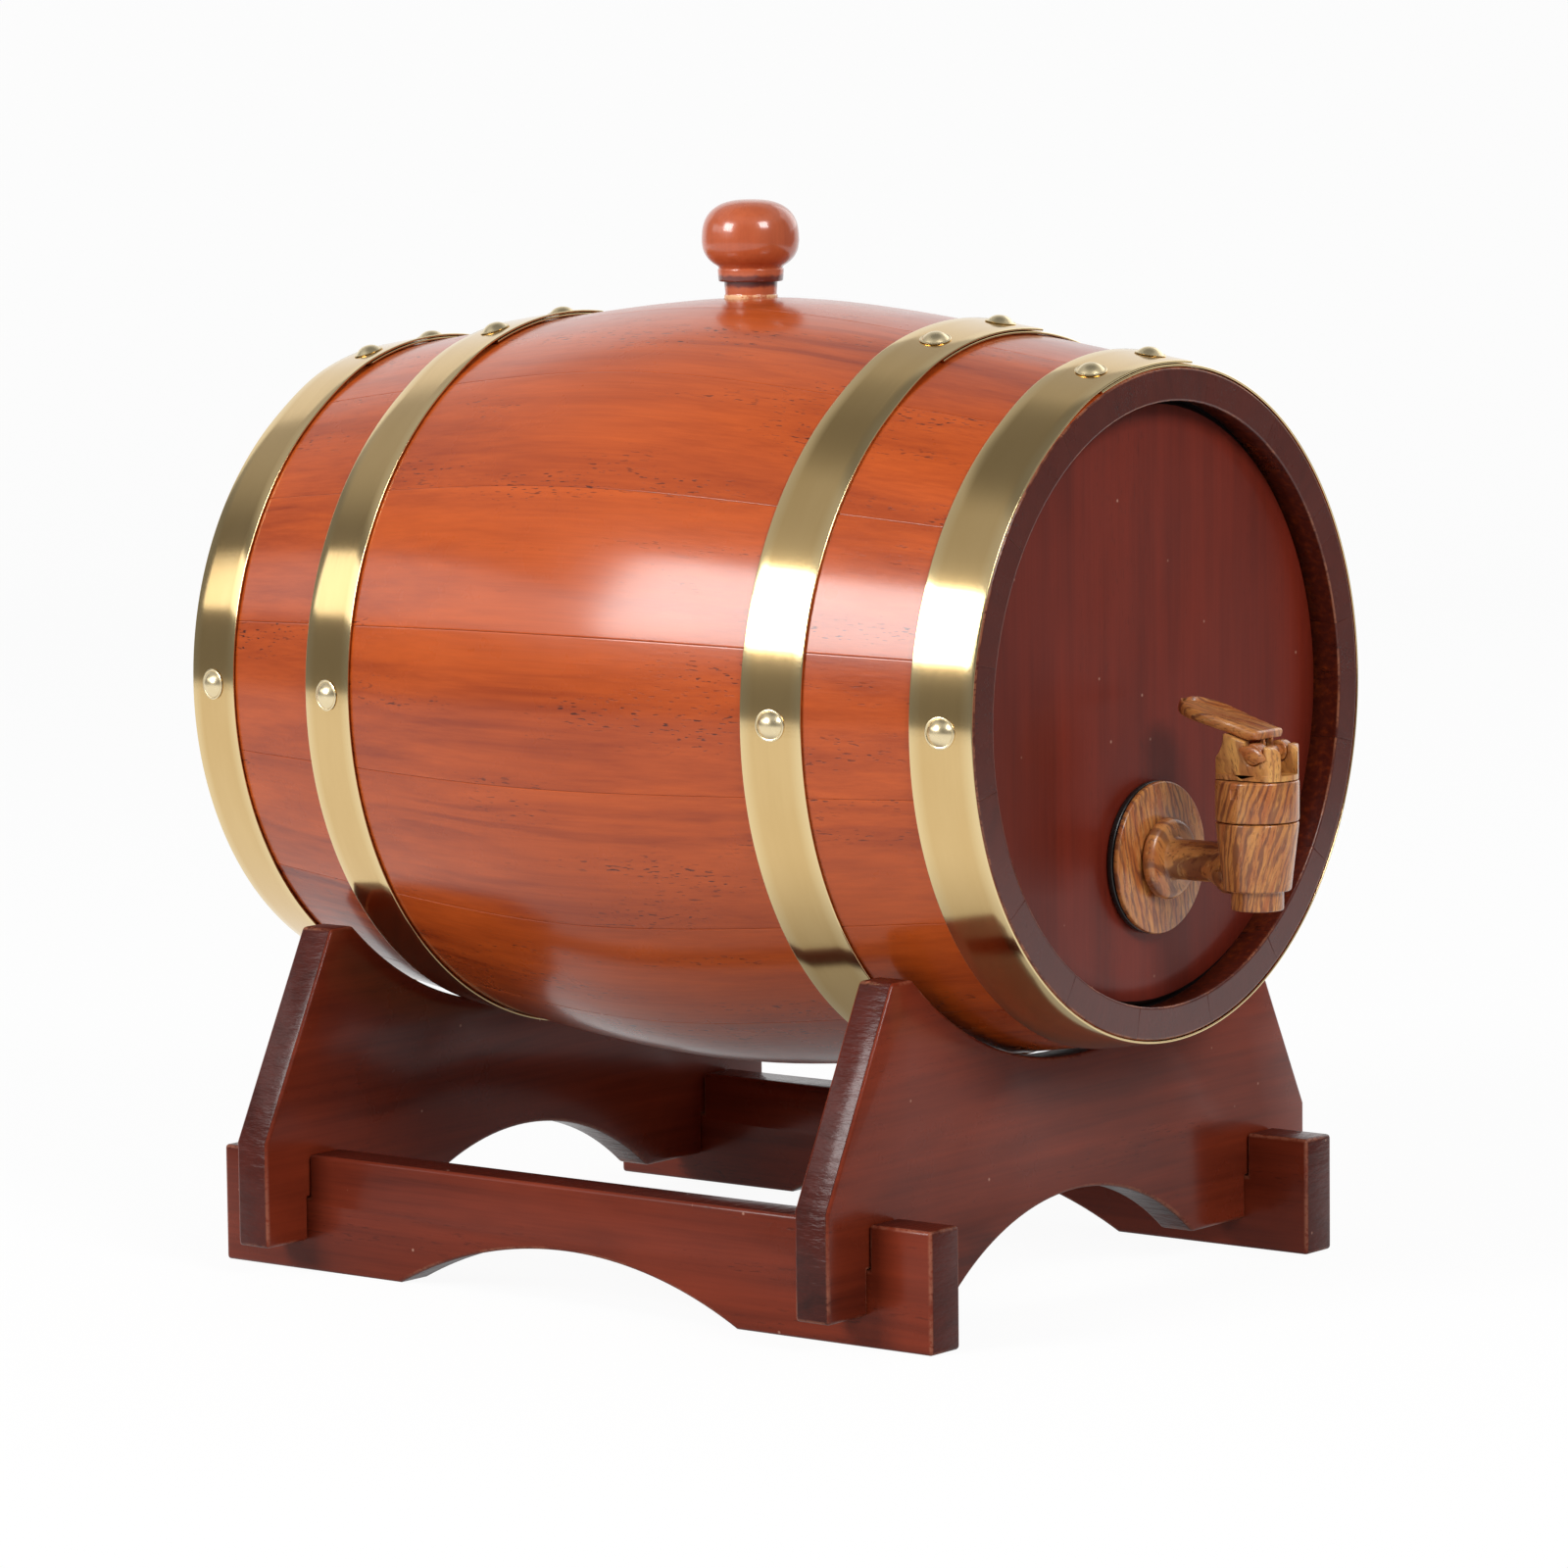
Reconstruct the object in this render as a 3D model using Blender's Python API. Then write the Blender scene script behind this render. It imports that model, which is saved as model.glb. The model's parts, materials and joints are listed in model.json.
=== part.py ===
"""Oak cask drink dispenser: a hooped cask on a cradle stand, with a lever tap and a turned bung.

Metres, +Z up. The origin is on the floor, under the middle of the whole: its length runs from the
tap's collar to the cask's rear end. The cask's axis lies along Y and the tap is at the -Y end.
"""
import math

import bmesh
import bpy
from mathutils import Matrix, Vector

for old in list(bpy.data.objects):
    bpy.data.objects.remove(old, do_unlink=True)

# Clearance between two pieces that touch
FIT = 0.0003
# Two points closer than this are one point
WELD = 0.000001

# Cask
CASK_LENGTH = 0.302
CHIME_RADIUS = 0.100
BELLY_SWELL = 0.0186
BELLY_ROUNDING = 0.0086
STAVE_THICKNESS = 0.010
STAVES = 16
FACETS_PER_STAVE = 3
AXIS_HEIGHT = 0.181
# Where a stave bends, as shares of the half length
STAVE_STATION_SHARES = (0.066, 0.2, 0.46, 1.0)

# Heads, held by a tongue in a groove across the staves
HEAD_RECESS = 0.0085
HEAD_THICKNESS = 0.011
TONGUE_THICKNESS = 0.004
TONGUE_DEPTH = 0.003
HEAD_RELIEF = 0.0022

# Hoops: strips that lap over themselves near the top
HOOP_WIDTH = 0.020
HOOP_THICKNESS = 0.0007
# Inner edge of the quarter hoops, as a share of the half length
QUARTER_HOOP_SHARE = 0.5033
LAP_START_ANGLE = 82.5
LAP_END_ANGLE = 110.5
RIVET_ANGLES = (88.0, 105.0, 180.0, 0.0)
LAP_RIVETS = 2
RIVET_HEAD_RADIUS = 0.0048
RIVET_HEAD_HEIGHT = 0.0023
RIVET_SHANK_RADIUS = 0.0012
RIVET_SHANK_LENGTH = 0.0055
RIVET_SIDES = 10
RIVET_DOME_STEPS = 3

# Bung with its turned knob
BUNG_OFFSET = 0.0065
BUNG_NECK_RADIUS = 0.0083
BUNG_NECK_RISE = 0.0050
BUNG_LIP_RADIUS = 0.0103
BUNG_LIP_HEIGHT = 0.0042
KNOB_RADIUS = 0.01515
KNOB_MIDDLE = 0.0178
KNOB_RISE = 0.0126
KNOB_FALL = 0.0101
# 1 gives a round knob, less a squarer one
KNOB_ROUNDNESS_SHARE = 0.85
PLUG_LENGTH = 0.020
PLUG_TAPER = 0.0012
BUNG_SIDES = 20
KNOB_STEPS = 8

# Stand
BOARD_THICKNESS = 0.0125
BOARD_GAP = 0.0068
BOARD_HALF_WIDTH = 0.124
BOARD_LIFT = 0.0095
SHOULDER_HEIGHT = 0.042
HORN_DROP = 0.0755
HORN_TIP = 0.0102
CRADLE_SPREAD = 0.0126
BOARD_ARCH_HALF = 0.062
BOARD_ARCH_RISE = 0.0223
RAIL_THICKNESS = 0.014
RAIL_OFFSET = 0.098
RAIL_HEIGHT = 0.0365
RAIL_INSET = 0.013
RAIL_ARCH_HALF = 0.066
RAIL_ARCH_RISE = 0.0165
ARRIS = 0.0012
CRADLE_STEPS = 20
ARCH_STEPS = 12

# Tap body
# How far under the cask's axis the tap lies, as a share of the chime's radius
TAP_DROP_SHARE = 0.46
TAP_REACH = 0.0385
GASKET_THICKNESS = 0.0019
FLANGE_RADIUS = 0.0229
FLANGE_THICKNESS = 0.0020
SHOULDER_RADIUS = 0.0123
SHOULDER_THICKNESS = 0.0046
SHOULDER_STEPS = 5
STEM_RADIUS = 0.0061
TAIL_RADIUS = 0.0075
INNER_GASKET_THICKNESS = 0.0020
INNER_GASKET_RADIUS = 0.0125
NUT_RADIUS = 0.0127
NUT_THICKNESS = 0.007
TAIL_END = 0.003
WATERWAY_RADIUS = 0.0034
BODY_TOP_RADIUS = 0.0126
BODY_TOP = 0.0131
BODY_BOTTOM_RADIUS = 0.0100
BODY_BOTTOM = -0.0073
NECK_RADIUS = 0.0098
NECK_TOP = 0.0220
CHAMBER_RADIUS = 0.0075
SEAT_LEVEL = -0.0040
SEAT_RADIUS = 0.0045
SEAT_DEPTH = 0.0025
SPOUT_RADIUS = 0.0078
SPOUT_BORE = 0.0056
SPOUT_END = -0.0132
COLLAR_TOP = 0.0255
TAP_SIDES = 20
FLANGE_SIDES = 36
EASE = 0.0006

# Tap moving parts
FORK_RADIUS = 0.0122
FORK_FLAT = 0.0082
FORK_FLOOR = 0.0016
FORK_SLOT = 0.0046
FORK_HEEL = 0.0052
FORK_WAIST = 0.0104
FORK_WAIST_DEPTH = 0.0068
PIVOT_FORWARD = 0.0040
PIVOT_LEVEL = 0.0338
HUB_RADIUS = 0.0032
HUB_HALF = 0.0085
CAP_LENGTH = 0.0050
CAP_THICKNESS = 0.0007
CORE_RADIUS = 0.0019
CLAW_RADIUS = 0.0010
CLAW_INNER = 0.0017
CLAW_OUTER = 0.0026
FRONT_WALL_RISE = 0.0024
PADDLE_CLEAR = 0.0027
PADDLE_THICKNESS = 0.0036
PADDLE_TILT = 16.0
PADDLE_START = 0.0010
PADDLE_REACH = 0.0325
PADDLE_HALF_WIDTH = 0.0070
PADDLE_TIP_RADIUS = 0.0090
PADDLE_TIP_STEPS = 12
PADDLE_EDGE = 0.0011
SHANK_RADIUS = 0.0014
SHANK_HOLE = 0.0018
BUTTON_RADIUS = 0.0026
BUTTON_THICKNESS = 0.0015
VALVE_RADIUS = 0.0062
VALVE_DISC = 0.0018
WASHER_THICKNESS = 0.0031
NIB_RADIUS = 0.0018
SPRING_RADIUS = 0.0046
SPRING_WIRE = 0.0005
SPRING_TURNS = 5
SPRING_STEPS = 10


# Places that follow from the sizes above
HALF_LENGTH = CASK_LENGTH / 2
BELLY_RADIUS = CHIME_RADIUS + BELLY_SWELL
BELLY_DROP = BELLY_SWELL + BELLY_ROUNDING
BELLY_SLOPE = math.sqrt(BELLY_DROP ** 2 - BELLY_ROUNDING ** 2) / HALF_LENGTH
STAVE_ANGLE = math.tau / STAVES
FACETS = STAVES * FACETS_PER_STAVE
HALF_FACET = math.pi / FACETS
HEAD_FACE = HALF_LENGTH - HEAD_RECESS
TONGUE_FACE = HEAD_FACE - (HEAD_THICKNESS - TONGUE_THICKNESS) / 2
HEAD_HOOP_START = HALF_LENGTH - HOOP_WIDTH
QUARTER_HOOP_START = QUARTER_HOOP_SHARE * HALF_LENGTH
BOARD_OFFSET = QUARTER_HOOP_START + HOOP_WIDTH + BOARD_GAP + BOARD_THICKNESS / 2
RAIL_HALF_LENGTH = HALF_LENGTH - RAIL_INSET
HORN_HEIGHT = AXIS_HEIGHT - HORN_DROP
TAP_DROP = TAP_DROP_SHARE * CHIME_RADIUS
LAP_STEP = HOOP_THICKNESS + FIT
TAP_LEVEL = AXIS_HEIGHT - TAP_DROP
TAP_FRONT = -(HEAD_FACE + TAP_REACH)
# The whole stands centred on the origin, from the tap's collar to the rear chime
CENTRING = (BODY_TOP_RADIUS - TAP_FRONT - HALF_LENGTH) / 2
SHOULDER_FACE = TAP_REACH - GASKET_THICKNESS - FLANGE_THICKNESS - 3 * FIT
TAIL_HOLE = TAIL_RADIUS + FIT
NUT_FACE = TAP_REACH + HEAD_THICKNESS + INNER_GASKET_THICKNESS + 2 * FIT
FORK_BASE = COLLAR_TOP + FIT
NOTCH_RADIUS = HUB_RADIUS + FIT
COLLAR_UNDERSIDE = NECK_TOP + FIT
WASHER_BASE = SEAT_LEVEL + FIT
DISC_BASE = WASHER_BASE + WASHER_THICKNESS + FIT
DISC_TOP = DISC_BASE + VALVE_DISC
BUTTON_BASE = PIVOT_LEVEL + CLAW_RADIUS + FIT


def stave_radius(y):
    """Outer radius of the true curve at a distance from the middle."""
    drop = math.hypot(BELLY_ROUNDING, BELLY_SLOPE * y)
    return BELLY_RADIUS + BELLY_ROUNDING - drop


def faceted_radius(y):
    """Outer radius on the straight run between two stave stations."""
    stations = [0.0] + [share * HALF_LENGTH for share in STAVE_STATION_SHARES]
    radii = [stave_radius(stations[1])] + [stave_radius(station) for station in stations[1:]]
    distance = min(abs(y), HALF_LENGTH)
    for near, far, radius_near, radius_far in zip(stations, stations[1:], radii, radii[1:]):
        if distance <= far:
            return radius_near + (radius_far - radius_near) * (distance - near) / (far - near)
    return radii[-1]


def linear(value):
    """One sRGB channel from 0 to 255 as a linear value."""
    value /= 255.0
    return value / 12.92 if value <= 0.04045 else ((value + 0.055) / 1.055) ** 2.4


def material(name, colour, roughness, metallic=0.0):
    made = bpy.data.materials.new(name)
    made.use_nodes = True
    shader = made.node_tree.nodes["Principled BSDF"]
    shader.inputs["Base Color"].default_value = [linear(channel) for channel in colour] + [1.0]
    shader.inputs["Roughness"].default_value = roughness
    shader.inputs["Metallic"].default_value = metallic
    return made


STAVE_OAK = material("stave_oak", (190, 84, 42), 0.32)
HEAD_OAK = material("head_oak", (106, 42, 34), 0.38)
STAND_OAK = material("stand_oak", (124, 56, 42), 0.40)
HOOP_BRASS = material("hoop_brass", (170, 138, 78), 0.34, 1.0)
RIVET_BRASS = material("rivet_brass", (208, 172, 104), 0.22, 1.0)
BUNG_OAK = material("bung_oak", (158, 74, 36), 0.22)
TAP_GRAIN = material("tap_grain", (176, 118, 62), 0.42)
FORK_YELLOW = material("fork_yellow", (190, 142, 72), 0.42)
SEAL_RUBBER = material("seal_rubber", (28, 24, 22), 0.55)
NUT_PLASTIC = material("nut_plastic", (196, 150, 84), 0.50)
SPRING_STEEL = material("spring_steel", (176, 176, 180), 0.30, 1.0)


def mesh_from(bm, name, sharp_angle=35.0):
    """Close a bmesh into mesh data with faces out and round parts smooth."""
    bmesh.ops.remove_doubles(bm, verts=bm.verts, dist=WELD)
    bmesh.ops.recalc_face_normals(bm, faces=bm.faces)
    mesh = bpy.data.meshes.new(name)
    bm.to_mesh(mesh)
    bm.free()
    mesh.shade_smooth()
    mesh.set_sharp_from_angle(angle=math.radians(sharp_angle))
    return mesh


def place(name, mesh, parent, look=None, location=(0, 0, 0), rotation=(0, 0, 0)):
    """One named object with its mesh, material and place under its parent."""
    made = bpy.data.objects.new(name, mesh)
    bpy.context.scene.collection.objects.link(made)
    made.parent = parent
    made.location = location
    made.rotation_euler = rotation
    if look is not None and mesh is not None and not mesh.materials:
        mesh.materials.append(look)
    return made


def frame(name, parent=None, location=(0, 0, 0)):
    """An empty that carries the pieces of one assembly."""
    return place(name, None, parent, location=location)


def cutter(name, mesh, parent, location=(0, 0, 0), rotation=(0, 0, 0)):
    made = place(name, mesh, parent, location=location, rotation=rotation)
    made.hide_render = True
    made.display_type = "WIRE"
    return made


def combine(target, tool, operation):
    step = target.modifiers.new(tool.name, "BOOLEAN")
    step.operation = operation
    step.solver = "EXACT"
    step.object = tool


def ease_edges(target, width, segments=1, angle=50.0):
    step = target.modifiers.new("eased_edges", "BEVEL")
    step.width = width
    step.segments = segments
    step.limit_method = "ANGLE"
    step.angle_limit = math.radians(angle)
    step.harden_normals = False


def turned_into(bm, profile, sides, matrix=Matrix.Identity(4), phase=0.5):
    """Spin a profile of (radius, height) points round local Z."""
    angle = phase * math.tau / sides
    verts = [bm.verts.new((r * math.cos(angle), r * math.sin(angle), h)) for r, h in profile]
    edges = [bm.edges.new(pair) for pair in zip(verts, verts[1:])]
    if profile[0][0] > 0:
        edges.append(bm.edges.new((verts[-1], verts[0])))
    before = set(bm.verts) - set(verts)
    bmesh.ops.spin(
        bm, geom=verts + edges, cent=(0, 0, 0), axis=(0, 0, 1), angle=math.tau, steps=sides,
        use_merge=True)
    added = [vert for vert in bm.verts if vert not in before]
    bmesh.ops.transform(bm, matrix=matrix, verts=added)


def turned(name, profile, sides, phase=0.5):
    bm = bmesh.new()
    turned_into(bm, profile, sides, phase=phase)
    return mesh_from(bm, name)


def rod(name, radius, low, high, sides):
    """A plain cylinder along local Z."""
    return turned(name, [(0, low), (radius, low), (radius, high), (0, high)], sides)


def oval(name, half_length, half_width, low, high, sides):
    """A flat oval along local Z, its length along Y."""
    mesh = rod(name, 1.0, low, high, sides)
    mesh.transform(Matrix.Diagonal((half_width, half_length, 1.0, 1.0)))
    return mesh


def ring(name, outer, inner, low, high, sides, ease=0.0):
    """A flat ring along local Z, its outer corners eased."""
    profile = [(inner, low), (outer - ease, low), (outer, low + ease)]
    profile += [(outer, high - ease), (outer - ease, high), (inner, high)]
    if ease == 0.0:
        profile = [(inner, low), (outer, low), (outer, high), (inner, high)]
    return turned(name, profile, sides)


def prism(name, outline, axis, low, high):
    """Extrude an outline along X ("X": points are y, z) or along Y ("Y": points are x, z)."""
    bm = bmesh.new()
    corners = []
    for across, up in outline:
        corners.append(bm.verts.new((low, across, up) if axis == "X" else (across, low, up)))
    made = bmesh.ops.extrude_face_region(bm, geom=[bm.faces.new(corners)])
    moved = [item for item in made["geom"] if isinstance(item, bmesh.types.BMVert)]
    travel = Vector((high - low, 0, 0)) if axis == "X" else Vector((0, high - low, 0))
    bmesh.ops.translate(bm, verts=moved, vec=travel)
    return mesh_from(bm, name)


def box(name, low, high):
    outline = [(low[1], low[2]), (high[1], low[2]), (high[1], high[2]), (low[1], high[2])]
    return prism(name, outline, "X", low[0], high[0])


def arc(centre, radius, start, end, steps):
    """Points on an arc, both ends included."""
    points = []
    for step in range(steps + 1):
        angle = start + (end - start) * step / steps
        points.append((centre[0] + radius * math.cos(angle), centre[1] + radius * math.sin(angle)))
    return points


def arch(half_chord, rise, base, steps):
    """An arch over a chord at the height base, from -half_chord to +half_chord."""
    radius = (half_chord ** 2 + rise ** 2) / (2 * rise)
    centre = (0.0, base + rise - radius)
    half = math.asin(half_chord / radius)
    return arc(centre, radius, math.pi / 2 + half, math.pi / 2 - half, steps)


# Staves: one spun section with a groove for each head


def stave_section():
    """The (y, radius) outline of a stave, with its two head grooves."""
    outer = [(share * HALF_LENGTH, stave_radius(share * HALF_LENGTH)) for share in STAVE_STATION_SHARES]
    inner = [(y, radius - STAVE_THICKNESS) for y, radius in outer]
    groove_near = TONGUE_FACE - TONGUE_THICKNESS - FIT
    groove_far = TONGUE_FACE + FIT
    floor = faceted_radius(TONGUE_FACE) - STAVE_THICKNESS + TONGUE_DEPTH + 2 * FIT
    groove = [
        (groove_near, faceted_radius(groove_near) - STAVE_THICKNESS),
        (groove_near, floor),
        (groove_far, floor),
        (groove_far, faceted_radius(groove_far) - STAVE_THICKNESS),
    ]
    inner = inner[:-1] + groove + inner[-1:]
    rear = outer + inner[::-1]
    front = [(-y, radius) for y, radius in rear[::-1]]
    return rear + front


def stave_mesh():
    bm = bmesh.new()
    width = STAVE_ANGLE - FIT / (CHIME_RADIUS - STAVE_THICKNESS)
    verts = []
    for y, radius in stave_section():
        verts.append(bm.verts.new((-radius * math.sin(width / 2), y, radius * math.cos(width / 2))))
    edges = [bm.edges.new(pair) for pair in zip(verts, verts[1:] + verts[:1])]
    bmesh.ops.spin(
        bm, geom=verts + edges, cent=(0, 0, 0), axis=(0, 1, 0), angle=width, steps=FACETS_PER_STAVE)
    ends = [edge for edge in bm.edges if edge.is_boundary]
    bmesh.ops.holes_fill(bm, edges=ends, sides=0)
    return mesh_from(bm, "stave")


def stave_number(angle):
    """The stave, counted from the top towards +X, that lies at an angle from +X."""
    return round((90.0 - angle) / math.degrees(STAVE_ANGLE)) % STAVES


floor_frame = frame("stand_frame", location=(0, CENTRING, 0))
cask_frame = frame("cask_frame", floor_frame, (0, 0, AXIS_HEIGHT))
stave_data = stave_mesh()
staves = []
for number in range(STAVES):
    turn = number * STAVE_ANGLE
    staves.append(place(f"stave_{number + 1:02d}", stave_data, cask_frame, STAVE_OAK, rotation=(0, turn, 0)))


# Heads: discs with a tongue round the edge


def head_mesh(name):
    """The head along local Z, its outer face at z = 0."""
    tongue = HEAD_FACE - TONGUE_FACE
    front = faceted_radius(HALF_LENGTH) - STAVE_THICKNESS - FIT
    groove = faceted_radius(TONGUE_FACE) - STAVE_THICKNESS
    back = groove - FIT
    profile = [
        (0, 0),
        (front - HEAD_RELIEF, 0),
        (front, -tongue),
        (groove + TONGUE_DEPTH, -tongue),
        (groove + TONGUE_DEPTH, -tongue - TONGUE_THICKNESS),
        (back, -tongue - TONGUE_THICKNESS),
        (back - HEAD_RELIEF, -HEAD_THICKNESS),
        (0, -HEAD_THICKNESS),
    ]
    return turned(name, profile, FACETS)


QUARTER = math.pi / 2
head_front = place(
    "head_front", head_mesh("head_front"), cask_frame, HEAD_OAK, (0, -HEAD_FACE, 0), (QUARTER, 0, 0))
head_rear = place(
    "head_rear", head_mesh("head_rear"), cask_frame, HEAD_OAK, (0, HEAD_FACE, 0), (-QUARTER, 0, 0))
tap_hole = cutter(
    "cut_tap_hole", rod("cut_tap_hole", TAIL_HOLE, -HEAD_THICKNESS - TAIL_RADIUS, TAIL_RADIUS, TAP_SIDES),
    cask_frame, (0, -HEAD_FACE, -TAP_DROP), (QUARTER, 0, 0))
combine(head_front, tap_hole, "DIFFERENCE")


# Hoops: strips that lap over themselves, held by rivets


HOOPS = {
    "front_head": (-1, HEAD_HOOP_START),
    "front_quarter": (-1, QUARTER_HOOP_START),
    "rear_quarter": (1, QUARTER_HOOP_START),
    "rear_head": (1, HEAD_HOOP_START),
}


def hoop_stations():
    """(angle, lift) along the strip: aligned with the stave facets, lifted over its own start."""
    facet = math.degrees(2 * HALF_FACET)
    first = math.ceil(LAP_START_ANGLE / facet - 0.5)
    stations = [(LAP_START_ANGLE, 0.0)]
    step = first
    while (step + 0.5) * facet < LAP_END_ANGLE + 360.0:
        angle = (step + 0.5) * facet
        lifted = angle > LAP_START_ANGLE + 360.0 - facet
        stations.append((angle, LAP_STEP if lifted else 0.0))
        step += 1
    stations.append((LAP_END_ANGLE + 360.0, LAP_STEP))
    return stations


def hoop_mesh(name, side, start):
    bm = bmesh.new()
    end = start + HOOP_WIDTH
    rows = []
    for angle, lift in hoop_stations():
        turn = math.radians(angle)
        row = []
        for y, rise in ((start, 0.0), (end, 0.0), (end, HOOP_THICKNESS), (start, HOOP_THICKNESS)):
            radius = faceted_radius(y) + FIT + lift + rise
            row.append(bm.verts.new((radius * math.cos(turn), side * y, radius * math.sin(turn))))
        rows.append(row)
    for near, far in zip(rows, rows[1:]):
        for corner in range(4):
            follow = (corner + 1) % 4
            bm.faces.new((near[corner], near[follow], far[follow], far[corner]))
    bm.faces.new(rows[0])
    bm.faces.new(rows[-1])
    return mesh_from(bm, name)


def rivet_matrix(side, start, angle, lapped):
    """Local Z out of the hoop's outer face, at the middle of its width."""
    middle = start + HOOP_WIDTH / 2
    fall = faceted_radius(start) - faceted_radius(start + HOOP_WIDTH)
    tilt = math.atan2(fall, HOOP_WIDTH)
    radius = faceted_radius(middle) * math.cos(HALF_FACET) + FIT + HOOP_THICKNESS
    if lapped:
        radius += LAP_STEP
    turn = math.radians(angle)
    radial = Vector((math.cos(turn), 0, math.sin(turn)))
    normal = (radial * math.cos(tilt) + Vector((0, side * math.sin(tilt), 0))).normalized()
    spot = radial * radius + Vector((0, side * middle, 0))
    return Matrix.Translation(spot) @ normal.to_track_quat("Z", "Y").to_matrix().to_4x4()


def rivet_mesh():
    """Domed head over z = 0 and a plain shank below."""
    lift = FIT * 1.5
    profile = [(0, -RIVET_SHANK_LENGTH), (RIVET_SHANK_RADIUS, -RIVET_SHANK_LENGTH)]
    profile += [(RIVET_SHANK_RADIUS, lift)]
    dome = arc((0, 0), 1.0, 0.0, QUARTER, RIVET_DOME_STEPS)
    profile += [(RIVET_HEAD_RADIUS * x, lift + RIVET_HEAD_HEIGHT * y) for x, y in dome[:-1]]
    profile += [(0, lift + RIVET_HEAD_HEIGHT)]
    return turned("rivet", profile, RIVET_SIDES)


def hole_mesh(name, places):
    """Rivet holes through the hoops and part of the way into the staves."""
    bm = bmesh.new()
    radius = RIVET_SHANK_RADIUS + FIT
    low = -RIVET_SHANK_LENGTH - 2 * FIT
    high = RIVET_HEAD_RADIUS
    for matrix in places:
        turned_into(bm, [(0, low), (radius, low), (radius, high), (0, high)], RIVET_SIDES, matrix)
    return mesh_from(bm, name)


rivet_data = rivet_mesh()
stave_holes = {}
for hoop_name, (side, start) in HOOPS.items():
    hoop = place(f"hoop_{hoop_name}", hoop_mesh(hoop_name, side, start), cask_frame, HOOP_BRASS)
    matrices = []
    for count, angle in enumerate(RIVET_ANGLES):
        matrix = rivet_matrix(side, start, angle, count < LAP_RIVETS)
        matrices.append(matrix)
        stave_holes.setdefault(stave_number(angle), []).append(matrix)
        rivet = place(f"rivet_{hoop_name}_{count + 1}", rivet_data, cask_frame, RIVET_BRASS)
        rivet.location = matrix.to_translation()
        rivet.rotation_euler = matrix.to_euler()
    combine(hoop, cutter(f"cut_{hoop_name}_rivets", hole_mesh(hoop_name, matrices), cask_frame), "DIFFERENCE")
for number, matrices in stave_holes.items():
    holes = cutter(f"cut_stave_{number + 1:02d}", hole_mesh("stave_holes", matrices), cask_frame)
    combine(staves[number], holes, "DIFFERENCE")


# Bung: a tapered plug, neck, lip and flattened ball turned in one piece


def bung_mesh():
    """Local z = 0 is on the belly."""
    lip_top = BUNG_NECK_RISE + BUNG_LIP_HEIGHT
    lip_round = BUNG_LIP_HEIGHT / 4
    profile = [
        (0, -PLUG_LENGTH),
        (BUNG_NECK_RADIUS - PLUG_TAPER, -PLUG_LENGTH),
        (BUNG_NECK_RADIUS, 0),
        (BUNG_NECK_RADIUS, BUNG_NECK_RISE),
        (BUNG_LIP_RADIUS - lip_round, BUNG_NECK_RISE),
        (BUNG_LIP_RADIUS, BUNG_NECK_RISE + lip_round),
        (BUNG_LIP_RADIUS, lip_top - lip_round),
        (BUNG_LIP_RADIUS - lip_round, lip_top),
    ]
    neck = (BUNG_LIP_RADIUS - lip_round) / KNOB_RADIUS
    start = -math.acos(neck ** (1 / KNOB_ROUNDNESS_SHARE))
    for x, y in arc((0, 0), 1.0, start, QUARTER, KNOB_STEPS)[:-1]:
        rise = KNOB_RISE if y > 0 else -KNOB_FALL
        level = KNOB_MIDDLE + rise * abs(y) ** KNOB_ROUNDNESS_SHARE
        profile.append((KNOB_RADIUS * x ** KNOB_ROUNDNESS_SHARE, max(level, lip_top)))
    profile += [(0, KNOB_MIDDLE + KNOB_RISE)]
    return turned("bung", profile, BUNG_SIDES)


belly_top = faceted_radius(BUNG_OFFSET)
bung = place("bung", bung_mesh(), cask_frame, BUNG_OAK, (0, BUNG_OFFSET, belly_top))
bung_hole = cutter(
    "cut_bung_hole", rod("cut_bung_hole", BUNG_NECK_RADIUS + FIT, -PLUG_LENGTH, PLUG_LENGTH, BUNG_SIDES),
    cask_frame, (0, BUNG_OFFSET, belly_top))
combine(staves[stave_number(90.0)], bung_hole, "DIFFERENCE")


# Stand: two cradle boards half lapped over two rails


LAP_LEVEL = (BOARD_LIFT + RAIL_HEIGHT) / 2


def board_outline():
    """The board's (x, z) outline, anticlockwise from the left foot."""
    slot = RAIL_THICKNESS / 2 + FIT
    slot_top = LAP_LEVEL + FIT / 2
    cask_radius = faceted_radius(BOARD_OFFSET - BOARD_THICKNESS / 2)
    radius = cask_radius + CRADLE_SPREAD
    centre = (0.0, AXIS_HEIGHT - cask_radius - FIT + radius)
    half = math.acos((centre[1] - HORN_HEIGHT) / radius)
    horn = radius * math.sin(half) + HORN_TIP
    left_foot = [
        (-BOARD_HALF_WIDTH, BOARD_LIFT),
        (-RAIL_OFFSET - slot, BOARD_LIFT),
        (-RAIL_OFFSET - slot, slot_top),
        (-RAIL_OFFSET + slot, slot_top),
        (-RAIL_OFFSET + slot, BOARD_LIFT),
    ]
    right_foot = [(-x, z) for x, z in left_foot[::-1]]
    right_side = [(BOARD_HALF_WIDTH, SHOULDER_HEIGHT), (horn, HORN_HEIGHT)]
    left_side = [(-x, z) for x, z in right_side[::-1]]
    cradle = arc(centre, radius, half - QUARTER, -half - QUARTER, CRADLE_STEPS)
    arches = arch(BOARD_ARCH_HALF, BOARD_ARCH_RISE, BOARD_LIFT, ARCH_STEPS)
    return left_foot + arches + right_foot + right_side + cradle + left_side


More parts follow.
